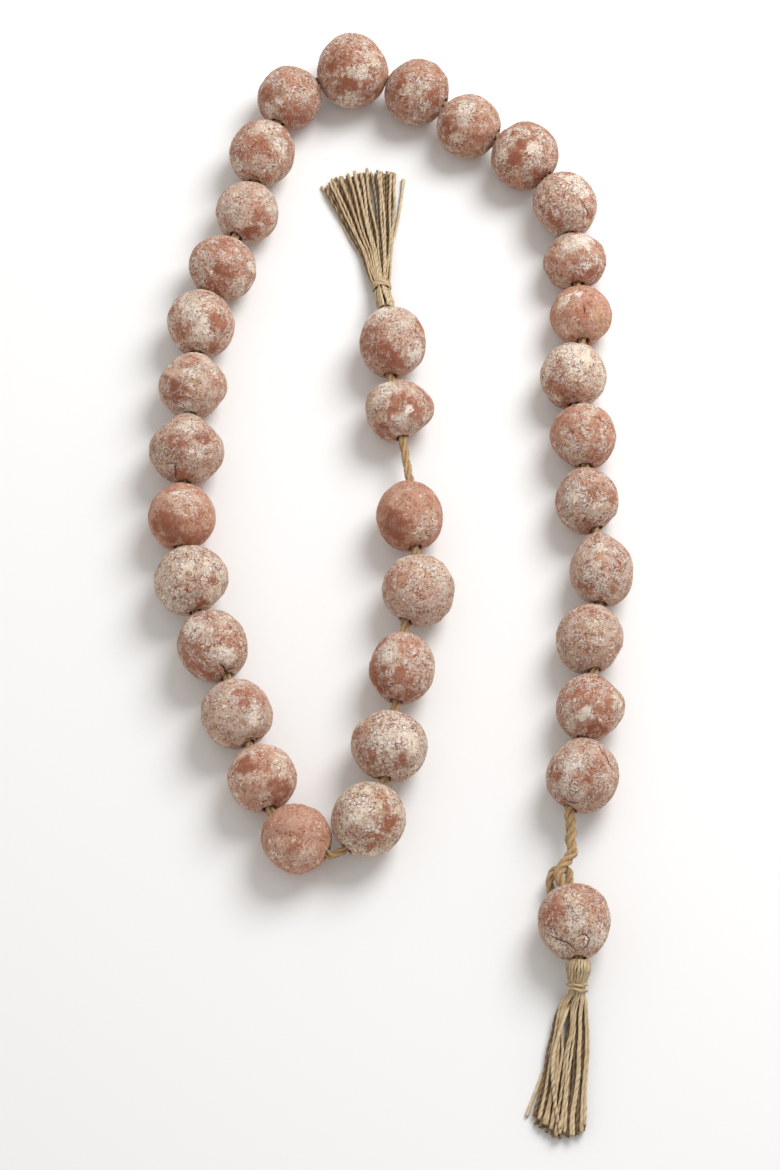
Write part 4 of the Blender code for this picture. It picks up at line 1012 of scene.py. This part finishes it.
class Bundle:
    """Many yarns gathered into one mesh, with the measures that the jute finish reads."""

    def __init__(self):
        self.points, self.faces, self.lay, self.painted_shade = [], [], [], []
        self.count = 0

    def add(self, points, quads, caps, lay, painted_shade):
        self.points.append(points)
        for faces in (quads, caps):
            self.faces += (faces + self.count).tolist()
        self.lay.append(lay)
        self.painted_shade.append(painted_shade)
        self.count += len(points)

    def make(self, name, finish, node):
        points = np.concatenate(self.points) * MM
        points[:, 2] = np.maximum(points[:, 2], 0.0)
        measures = (("lay", "FLOAT_VECTOR", np.concatenate(self.lay)),
                    ("painted_shade", "FLOAT", np.concatenate(self.painted_shade)))
        piece = make_piece(name, points.tolist(), self.faces, measures, finish, [node])
        print(name, "has", len(piece.data.polygons), "faces")
        return piece


def carried_frames(line):
    """For each point of a line its heading and two directions across, carried on without a twist."""
    heading = np.gradient(line, axis=0)
    heading /= np.linalg.norm(heading, axis=1)[:, None]
    one = np.cross(heading[0], (0.0, 0.0, 1.0))
    if np.linalg.norm(one) < 1e-3:
        one = np.array((1.0, 0.0, 0.0))
    across = []
    for way in heading:
        one = one - way * one.dot(way)
        one /= np.linalg.norm(one)
        across.append(one)
    across = np.array(across)
    return heading, across, np.cross(heading, across)


def distances(line):
    """How far along the line each of its points is."""
    return np.concatenate([[0.0], np.cumsum(np.linalg.norm(np.diff(line, axis=0), axis=1))])


def spin(bundle, line, radius, plies, lay_length, sides, own, lobe, phase=0.0, hank_shade=0.0):
    """Add one yarn along a line in millimetres. radius and lobe are one number or one a point.

    Own is the yarn's own lightness. The last argument is painted shade over all of it, for yarns deep in
    a hank.
    """
    line = np.asarray(line, float)
    _, across, over = carried_frames(line)
    run = distances(line)
    radius = np.broadcast_to(np.asarray(radius, float), run.shape)
    lobe = np.broadcast_to(np.asarray(lobe, float), run.shape)
    turn = np.arange(sides) * 2 * math.pi / sides
    swing = plies * (turn[None, :] - 2 * math.pi * run[:, None] / lay_length - phase)
    sunk = 0.5 - 0.5 * np.cos(swing)
    reach = radius[:, None] * (1 - lobe[:, None] * sunk ** LOBE_POWER)
    rings = (line[:, None, :] + across[:, None, :] * (np.cos(turn)[None, :] * reach)[:, :, None]
             + over[:, None, :] * (np.sin(turn)[None, :] * reach)[:, :, None])
    points = np.concatenate([rings.reshape(-1, 3), line[:1], line[-1:]])
    count = len(line)
    first, last, end = count * sides, count * sides + 1, (count - 1) * sides
    caps = [(first, (s + 1) % sides, s) for s in range(sides)]
    caps += [(last, end + s, end + (s + 1) % sides) for s in range(sides)]
    lay = np.zeros((count, sides, 3))
    lay[:, :, 0] = (turn[None, :] - 2 * math.pi * run[:, None] / lay_length) * radius.mean()
    lay[:, :, 1] = run[:, None]
    lay[:, :, 2] = own
    lay = np.concatenate([lay.reshape(-1, 3), [[0, 0, own], [0, run[-1], own]]])
    # painted shade: in the grooves between plies, at the cut ends, over yarns deep in a hank, and on
    # undersides
    sunk = sunk * np.minimum(lobe / FULL_LOBE, 1.0)[:, None]
    painted_shade = np.concatenate([sunk.ravel(), [CAP_GROOVE, CAP_GROOVE]]) + hank_shade
    upward = across[:, None, 2] * np.cos(turn)[None, :] + over[:, None, 2] * np.sin(turn)[None, :]
    painted_shade[:-2] += FLANK_SHADE * np.clip(FLANK_FROM - upward, 0, FLANK_MOST).ravel()
    bundle.add(points, ring_faces(count, sides, closed=False), np.array(caps), lay, painted_shade)


print("ready to spin")

# %% [markdown]
# A laid rope is three twisted yarns that wind round one line, and its twist holds because the
# yarns are twisted the other way. Jute is never clean: short fibres stand off it everywhere,
# most of all at a cut end, so each yarn gets some thin curved hairs.

# %% Rope and loose fibres
PLIES, PLY_SHARE, PLY_SWELL = 3, 0.485, 1.04
PLY_YARNS, PLY_LAY, PLY_LOBE = 4, -8.0, 0.17
HAIR_STOPS, HAIR_GIRTHS = (0.0, 0.3, 0.65, 1.0), (0.07, 0.06, 0.05, 0.02)
HAIR_ROOT, HAIR_DROOP, HAIR_RISE, HAIR_RUN = 0.85, 0.35, 0.6, 0.5


def rope(bundle, line, radius, lay_length, sides, rng):
    """Lay plies round a line, each twisted in itself. The lay can change on the way."""
    line = np.asarray(line, float)
    _, across, over = carried_frames(line)
    run = distances(line)
    radius = np.broadcast_to(np.asarray(radius, float), run.shape)
    ply = radius * PLY_SHARE
    out = radius - ply
    lays = np.broadcast_to(lay_length, run.shape)[1:]
    turned = np.concatenate([[0.0], np.cumsum(np.diff(run) / lays)])
    for k in range(PLIES):
        turn = 2 * math.pi * (turned + k / PLIES)
        wound = line + across * (np.cos(turn) * out)[:, None] + over * (np.sin(turn) * out)[:, None]
        spin(bundle, wound, ply * PLY_SWELL, PLY_YARNS, PLY_LAY, sides, own=rng.uniform(0.2, 1.0),
             lobe=PLY_LOBE, phase=rng.random())


def fluff(bundle, line, radius, count, rng, reach=2.2):
    """Loose fibres that stand off a yarn: thin curved hairs."""
    line = np.asarray(line, float)
    heading, across, over = carried_frames(line)
    for _ in range(count):
        k = rng.randrange(len(line))
        turn = rng.uniform(0, 2 * math.pi)
        out = across[k] * math.cos(turn) + over[k] * math.sin(turn)
        lean = heading[k] * rng.choice((-1, 1)) * rng.uniform(0.8, 2.2)
        side = np.cross(out, heading[k]) * rng.uniform(-0.8, 0.8)
        long = rng.uniform(0.4, 1.0) * reach
        hair = []
        for t in HAIR_STOPS:
            rise = out * (radius * HAIR_ROOT + long * t * (1 - HAIR_DROOP * t) * HAIR_RISE)
            hair.append(line[k] + rise + (lean + side * t) * long * t * HAIR_RUN)
        spin(bundle, hair, HAIR_GIRTHS, plies=1, lay_length=9.0, sides=3, own=rng.uniform(0.5, 1.0),
             lobe=0.0)


print("plies in a rope:", PLIES)

# %% [markdown]
# The cord is one jute rope that runs through every bead, from inside one tassel's head to inside
# the other's. Its way is known: in at one mouth of each bore and out at the other, with three
# bare stretches that sag or bend. Those have middle points of their own, listed below.

# %% Cord
# points given below are in millimetres from the middle of the picture
SHIFT = np.array((*PICTURE_MIDDLE, 0.0))
CORD_RADIUS = 2.35
CORD_LAY, COARSE_LAY = 25.0, 16.0
COARSE = 2.55
BORE_INSET = 1.2
# bead before the bare stretch: its middle points, its radius, and how far it first runs straight
BARE = {
    "bead_02": ([(8.5, 70.0, 14.8)], 2.3, 3.0),
    "bead_07": ([(-23.4, -141.9, 16.1), (-25.8, -143.0, 15.8), (-28.6, -144.1, 16.1)], 2.2, 1.3),
    "bead_34": ([(88.5, -126.0, 15.0), (88.9, -130.9, 13.4), (88.4, -135.9, 12.3), (89.6, -140.4, 12.2),
                 (86.9, -145.0, 12.6), (83.4, -150.0, 13.4), (82.3, -154.8, 14.7)], 2.8, 2.4),
}
HEAD_A = ((-2.5, 161.9, 15.5), (-2.3, 159.2, 16.2))
HEAD_B = ((90.9, -198.9, 16.2), (90.8, -200.4, 15.9))


def on_table(places):
    """Places given from the middle of the picture, moved to where they lie in the frame."""
    return [np.array(place) + SHIFT for place in places]


def smooth_line(ways, step):
    """A smooth line through the given points, as points about one step apart."""
    ways = [np.asarray(way, float) for way in ways]
    out = []
    for k in range(len(ways) - 1):
        here, there = ways[k], ways[k + 1]
        before = ways[k - 1] if k else 2 * here - there
        after = ways[k + 2] if k + 2 < len(ways) else 2 * there - here
        pieces = max(1, round(float(np.linalg.norm(there - here)) / step))
        for piece in range(pieces):
            t = piece / pieces
            square = (2 * before - 5 * here + 4 * there - after) * t * t
            cube = (3 * here - before - 3 * there + after) * t ** 3
            out.append(0.5 * (2 * here + (there - before) * t + square + cube))
    return np.array(out + [ways[-1]])


def cord_line():
    """The cord's way through all the beads and its radius at each point."""
    ways = on_table(HEAD_A)
    stout = [CORD_RADIUS] * 2
    for name, (mouth_in, mouth_out) in BORES.items():
        one, two = np.array(mouth_in) / MM, np.array(mouth_out) / MM
        axis = (two - one) / np.linalg.norm(two - one)
        ways += [one + axis * BORE_INSET, (one + two) / 2, two - axis * BORE_INSET]
        stout += [CORD_RADIUS] * 3
        if name in BARE:
            middles, radius, straight = BARE[name]
            ways += [two + axis * straight * 0.5, *on_table(middles)]
            stout[-1] = radius
            stout += [radius] * (len(middles) + 1)
    ways += on_table(HEAD_B)
    stout += [CORD_RADIUS] * 2
    line = smooth_line(ways, step=1.3)
    knots = distances(np.array(ways))
    places = distances(line)
    stout = np.interp(places / places[-1], knots / knots[-1], stout)
    return line, stout, np.where(stout > COARSE, COARSE_LAY, CORD_LAY)


rng = random.Random(5)
cord_bundle = Bundle()
line, stout, lays = cord_line()
rope(cord_bundle, line, stout, lays, sides=11, rng=rng)
fluff(cord_bundle, line, radius=2.1, count=420, rng=rng)
cord_bundle.make("jute_cord", CORD_JUTE, "cord")
print("cord length in mm:", round(float(distances(line)[-1]), 1))

# %% [markdown]
# Above the last bead the cord's spare end is hitched round it. The hitch goes under the cord
# and turns down again, so it is a second short rope, laid the same way.

# %% Knot
KNOT_WAYS = (
    (79.0, -162.6, 7.6), (78.2, -156.8, 8.3), (78.6, -152.4, 8.5), (80.6, -149.4, 8.5),
    (83.8, -147.8, 8.15), (86.6, -148.6, 8.15), (87.9, -151.6, 8.5), (87.5, -155.2, 9.0),
    (87.0, -158.4, 9.5),
)
knot_bundle = Bundle()
knot_line = smooth_line(on_table(KNOT_WAYS), step=0.9)
rope(knot_bundle, knot_line, radius=2.2, lay_length=15.0, sides=12, rng=rng)
fluff(knot_bundle, knot_line, radius=2.0, count=26, rng=rng)
knot_bundle.make("jute_knot", CORD_JUTE, "knot")

# %% [markdown]
# A tassel is a hank of two-ply strands folded over the cord, bound below the fold and cut at the
# tips. The outer strands show on the head as ridges, pass under the binding and fan out. The
# stations give the head's middle line and its width and thickness, and the tips give the fan.

# %% Shape of the tassels
# x, y, z, wide, thick, from the face at the bead to where the strands part
STATIONS_A = (
    (-2.3, 159.2, 16.2, 8.6, 8.4), (-2.5, 161.9, 15.5, 9.9, 8.8), (-3.4, 167.6, 12.2, 9.2, 8.6),
    (-3.9, 171.8, 10.0, 9.2, 8.0), (-4.2, 174.0, 8.9, 8.2, 6.8), (-4.6, 178.6, 7.2, 8.4, 6.6),
    (-4.9, 180.6, 6.6, 11.0, 7.0), (-5.8, 186.7, 5.2, 13.4, 6.9), (-6.6, 193.5, 4.2, 15.6, 6.6),
    (-7.4, 200.0, 3.6, 18.0, 6.4),
)
STATIONS_B = (
    (90.9, -198.9, 16.2, 10.2, 8.6), (90.8, -200.4, 15.9, 12.7, 10.2), (90.6, -203.4, 13.2, 11.4, 9.4),
    (90.4, -205.8, 10.6, 9.6, 8.2), (90.3, -207.0, 9.8, 8.4, 7.2), (90.1, -212.0, 7.2, 8.6, 6.8),
    (89.6, -214.3, 6.5, 12.0, 7.2), (88.1, -218.6, 5.2, 15.4, 7.0), (87.2, -224.5, 4.2, 17.6, 6.8),
    (86.7, -230.7, 3.7, 19.0, 6.6),
)
# the station where the binding starts
NECK = 4
# left, middle and right end of the fan
TIPS_A = ((-37.0, 240.6), (-15.8, 249.4), (2.9, 247.6))
TIPS_B = ((68.0, -272.5), (80.3, -280.8), (92.6, -277.4))


def tip_place(tips, share):
    """Where a strand ends, by its share of the way from the left edge of the fan to the right."""
    left, middle, right = (np.array(tip) for tip in tips)
    return (left * (1 - share) * (1 - 2 * share) + middle * 4 * share * (1 - share)
            + right * share * (2 * share - 1))


def station_place(station, heading, across, high, inset):
    """A point at one station, across and high being -1 to 1 of its outline less the inset."""
    side = np.cross(heading, (0.0, 0.0, 1.0))
    side /= np.linalg.norm(side)
    up = np.cross(side, heading)
    x, y, z, wide, thick = station
    outward = side * (across * (wide / 2 - inset))
    return np.array((x, y, z)) + outward + up * (high * (thick / 2 - inset))


print("stations of each head:", len(STATIONS_A), len(STATIONS_B))

# %% [markdown]
# Each strand keeps its place round the head as far as the binding, opens out over the next few
# stations, and then bends down to the table and runs to its own tip. Strands lie in three
# layers, and each has a little wave and an uneven cut, because no two fibres agree.

# %% One strand
# half thickness of a strand, by its share of the way from the head to the tip
GIRTH_PLACES = (0.0, 0.10, 0.22, 0.5, 0.90, 0.965, 1.0)
GIRTHS = (0.74, 0.74, 0.58, 0.68, 0.84, 1.10, 0.80)
LAYER_RISE, LOWEST, LEVEL_SHAKE = 1.95, 0.95, 0.35
FRONT_FROM = 0.25
OPENS_FROM, OPENS_OVER = 4.5, 3.5
FAN_STOPS, FAN_HEIGHT, DOWN_BY = (0.2, 0.4, 0.6, 0.8, 1.0), 0.72, 0.45
FULL_TURN, WEIGHTS = 6.28, (0.15, 0.75)
WAVE_ASIDE, WAVE_UP, CALM = 6.5, 8, 0.4
# How each tassel's strands go: how far those in front gather towards the binding, where they
# part on the head at the top and at the neck and how wide, how narrow the fold at the bead is
# and how far it stands past the first station, how unevenly the tips are cut, how much painted
# shade the inner layer gets, and where the fan parts, how much its strands bow there, over which
# share of the fan, and how far they open.
LOOK_A = {"gather": 0.45, "slot": (0.16, -0.22, 0.14), "mouth": 0.9, "fold": 0.8,
          "cut": (-2.6, 1.0), "hank_shade": 0.55, "parting": 0.62, "parted": 1.2,
          "parted_reach": 0.4, "opened": 0.03}
LOOK_B = {"gather": 0.0, "slot": (0.0, 0.0, 0.0), "mouth": 0.80, "fold": 1.3,
          "cut": (-2.6, 1.0), "hank_shade": 0.75, "parting": 0.36, "parted": 2.6,
          "parted_reach": 0.30, "opened": 0.13}


def parted(share, look):
    """1 just right of where the skirt parts, -1 just left of it, and 0 a little way off."""
    aside = share - look["parting"]
    return math.copysign(max(0.0, 1 - abs(aside) / look["parted_reach"]), aside)


def head_ways(stations, on_head, share, layer, look):
    """A strand's points over the head, under the binding and into the fan."""
    middles = np.array([station[:3] for station in stations])
    headings = np.gradient(middles, axis=0)
    headings /= np.linalg.norm(headings, axis=1)[:, None]
    away = 1 if stations[-1][1] > stations[0][1] else -1
    fan_across, fan_high = (2 * share - 1) * away, (layer - 1) * FAN_HEIGHT
    fan_across += away * look["opened"] * parted(share, look)
    head_across, head_high = on_head
    in_front = head_high > FRONT_FROM
    gathered = look["gather"] if in_front else 0.0
    slot_top, slot_neck, slot_wide = look["slot"]
    ways = []
    for k, station in enumerate(stations):
        across = head_across * (1 - gathered * min(k, NECK) / NECK)
        if in_front and k <= NECK:
            slot = slot_top + (slot_neck - slot_top) * k / NECK
            beside = slot_wide + abs(across - slot) * (1 - slot_wide)
            across = slot + math.copysign(beside, head_across)
        opened = min(max((k - OPENS_FROM) / OPENS_OVER, 0.0), 1.0)
        across += (fan_across - across) * opened
        high = head_high + (fan_high - head_high) * opened
        narrow = look["mouth"] if k == 0 else 1.0
        inset = GIRTHS[0] if k < NECK else GIRTHS[2]
        ways.append(station_place(station, headings[k], across * narrow, high * narrow, inset))
    ways[0] = ways[0] - headings[0] * look["fold"]
    return ways


def strand_line(stations, tips, on_head, share, layer, bow, look, rng):
    """One strand from the head's mouth, under the binding and out to its tip."""
    ways = head_ways(stations, on_head, share, layer, look)
    root = ways[-1]
    tip = tip_place(tips, share)
    heading = (tip - root[:2]) / np.linalg.norm(tip - root[:2])
    sideways = np.array((heading[1], -heading[0]))
    tip = tip + heading * rng.uniform(*look["cut"])
    level = LOWEST + layer * LAYER_RISE + rng.uniform(-LEVEL_SHAKE, LEVEL_SHAKE) * (layer > 0)
    handle = (root[:2] + tip) / 2 + sideways * bow
    wave, weight = rng.uniform(0, FULL_TURN), rng.uniform(*WEIGHTS)
    for t in FAN_STOPS:
        flat = root[:2] * (1 - t) ** 2 + handle * 2 * t * (1 - t) + tip * t * t
        flat = flat + sideways * weight * math.sin(wave + WAVE_ASIDE * t) * (1 if t < 1 else CALM)
        z = root[2] + (level - root[2]) * min(1.0, t / DOWN_BY)
        ways.append(np.array((*flat, z + CALM * weight * math.sin(wave * 2 + WAVE_UP * t))))
    return smooth_line(on_table(ways), step=0.85)


print("strands open from station", OPENS_FROM)

# %% [markdown]
# Now the strands are planned: a ring of them round the head's outline, and a row inside it with
# painted shade, as the heart of a hank lies in shade. Each layer spreads its strands evenly over
# the fan, with a shake. A few stray strands are led one by one, because the eye looks for them.

# %% Tassels
STRAND_LAY, STRAND_SIDES = 8.5, 10
OUTER, INNER, INNER_SPAN = 22, 24, 1.5
SHARE_SHAKE, BOW_SHAKE, GIRTH_SPAN = 0.42, 0.6, (0.88, 1.12)
# ways, radius, length of its lay, and how deep its two plies part from root to tip
STRAY_A = (((-4.0, 181.0, 8.0), (-1.0, 196.0, 5.0), (3.4, 216.0, 2.0), (6.0, 234.0, 1.2),
            (7.2, 246.0, 1.0)), 0.85, 12.0, (0.15, 0.15, 0.15, 0.15))
STRAY_B = (((87.0, -216.0, 6.0), (79.5, -232.0, 2.5), (73.0, -250.0, 1.2), (67.6, -264.0, 1.0),
            (65.2, -270.6, 1.0)), 0.85, 12.0, (0.15, 0.15, 0.15, 0.15))
TWISTED_B = (((87.0, -215.5, 5.0), (84.0, -223.5, 7.4), (80.4, -234.0, 8.0), (78.0, -244.5, 7.6),
              (77.8, -256.0, 7.0), (79.2, -270.0, 6.4), (81.0, -278.0, 5.6)), 0.98, 6.8,
             (0.08, 0.12, 0.28, 0.30))


def led_strand(bundle, ways, radius, lay_length, lobes, rng):
    """A strand that follows given points."""
    line = smooth_line(on_table(ways), step=0.8)
    share = np.linspace(0, 1, len(line))
    girth = np.interp(share, (0.0, 0.9, 0.96, 1.0), (0.85, 1.0, 1.35, 1.1)) * radius
    lobe = np.interp(share, (0.0, 0.45, 0.65, 1.0), lobes)
    spin(bundle, line, girth, 2, lay_length, STRAND_SIDES, own=0.8, lobe=lobe)
    fluff(bundle, line[-3:], radius, count=6, rng=rng, reach=2.0)


def tassel(name, node, stations, tips, look, seed, led):
    """A whole tassel: strands over the head, ones inside it with painted shade, and a few led one by one.
    """
    rng = random.Random(seed)
    bundle = Bundle()
    plans = []
    for k in range(OUTER):
        turn = 2 * math.pi * (k + 0.5) / OUTER
        plans.append((math.cos(turn), math.sin(turn), 2 if math.sin(turn) > 0 else 0))
    for k in range(INNER):
        plans.append(((k + 0.5) / INNER * INNER_SPAN - INNER_SPAN / 2, 0.0, 1))
    away = 1 if stations[-1][1] > stations[0][1] else -1
    for layer in (0, 1, 2):
        row = sorted((plan for plan in plans if plan[2] == layer), key=lambda plan: plan[0] * away)
        for place, plan in enumerate(row):
            place = place + 0.5 + (layer - 1) / 3 + rng.uniform(-SHARE_SHAKE, SHARE_SHAKE)
            share = min(max(place / len(row), 0.0), 1.0)
            bow = look["parted"] * parted(share, look) + rng.uniform(-BOW_SHAKE, BOW_SHAKE)
            line = strand_line(stations, tips, plan[:2], share, layer, bow, look, rng)
            run = distances(line)
            girth = np.interp(run / run[-1], GIRTH_PLACES, GIRTHS) * rng.uniform(*GIRTH_SPAN)
            # painted shade on the inner layer; the other layers get a little, at random
            hank_shade = look["hank_shade"] if layer == 1 else rng.uniform(0.0, 0.12)
            spin(bundle, line, girth, 2, STRAND_LAY * rng.uniform(0.8, 1.5), STRAND_SIDES,
                 own=rng.random(), lobe=rng.uniform(0.13, 0.24), phase=rng.random() * 3, hank_shade=hank_shade)
            fluff(bundle, line[len(line) // 2:], radius=0.7, count=3, rng=rng, reach=1.6)
            fluff(bundle, line[-3:], radius=0.5, count=9, rng=rng, reach=2.2)
    for row in led:
        led_strand(bundle, *row, rng)
    return bundle.make(name, STRAND_JUTE, node)


tassel(
    "jute_tassel_a", "tassel_a", STATIONS_A, TIPS_A, LOOK_A, seed=11, led=[STRAY_A])
tassel(
    "jute_tassel_b", "tassel_b", STATIONS_B, TIPS_B, LOOK_B, seed=23, led=[STRAY_B, TWISTED_B])

# %% [markdown]
# Each neck is bound with thinner twine. At the first tassel it is wound close, as one pale band.
# At the second it goes round level once, and then slants down to where its end is tucked away.
# The levels say how far down the neck the twine is after each half turn.

# %% Bindings
HALF_TURN_STEPS = 24
TUCK_STEPS, TUCK_DEPTH = 5, 2.2


def binding(name, node, stations, radius, sunk, halves, levels, rng):
    """Twine wound round a tassel's neck for some half turns, partly sunk into its strands."""
    upper, lower = np.array(stations[NECK]), np.array(stations[NECK + 1])
    length = np.linalg.norm(lower[:3] - upper[:3])
    ahead = (lower[:3] - upper[:3]) / length
    side = np.cross(ahead, (0.0, 0.0, 1.0))
    side /= np.linalg.norm(side)
    up = np.cross(side, ahead)
    ways = []
    last = round(HALF_TURN_STEPS * halves)
    for k in range(last + 1):
        tucked = 1 - min(1.0, k / TUCK_STEPS, (last - k) / TUCK_STEPS)
        turn = math.pi * k / HALF_TURN_STEPS
        down = np.interp(k / HALF_TURN_STEPS, range(len(levels)), levels)
        wide, thick = upper[3:] + (lower[3:] - upper[3:]) * (down / length)
        out = radius - sunk - tucked * TUCK_DEPTH * radius
        ways.append(upper[:3] + ahead * down + side * math.cos(turn) * (wide / 2 + out)
                    + up * math.sin(turn) * (thick / 2 + out))
    bundle = Bundle()
    ways = on_table(ways)
    spin(bundle, ways, radius, plies=2, lay_length=11.0, sides=12, own=0.9, lobe=0.22)
    fluff(bundle, ways, radius, count=14, rng=rng, reach=1.4)
    return bundle.make(name, TWINE_JUTE, node)


binding(
    "twine_binding_a", "tassel_a_wrap", STATIONS_A, radius=0.62, sunk=0.25, halves=8,
    levels=(0.5, 0.7, 1.3, 1.8, 2.4, 2.9, 3.5, 4.0, 4.6), rng=rng)
binding(
    "twine_binding_b", "tassel_b_wrap", STATIONS_B, radius=0.98, sunk=0.60, halves=3.25,
    levels=(0.3, 0.4, 1.4, 3.6, 4.2), rng=rng)

# %% Measure and finish
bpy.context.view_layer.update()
triangles = 0
for thing in bpy.context.scene.objects:
    if thing.name.startswith(("clay_", "jute_", "twine_", "drying_")):
        triangles += sum(len(face.vertices) - 2 for face in thing.data.polygons)
print("triangles added:", triangles)
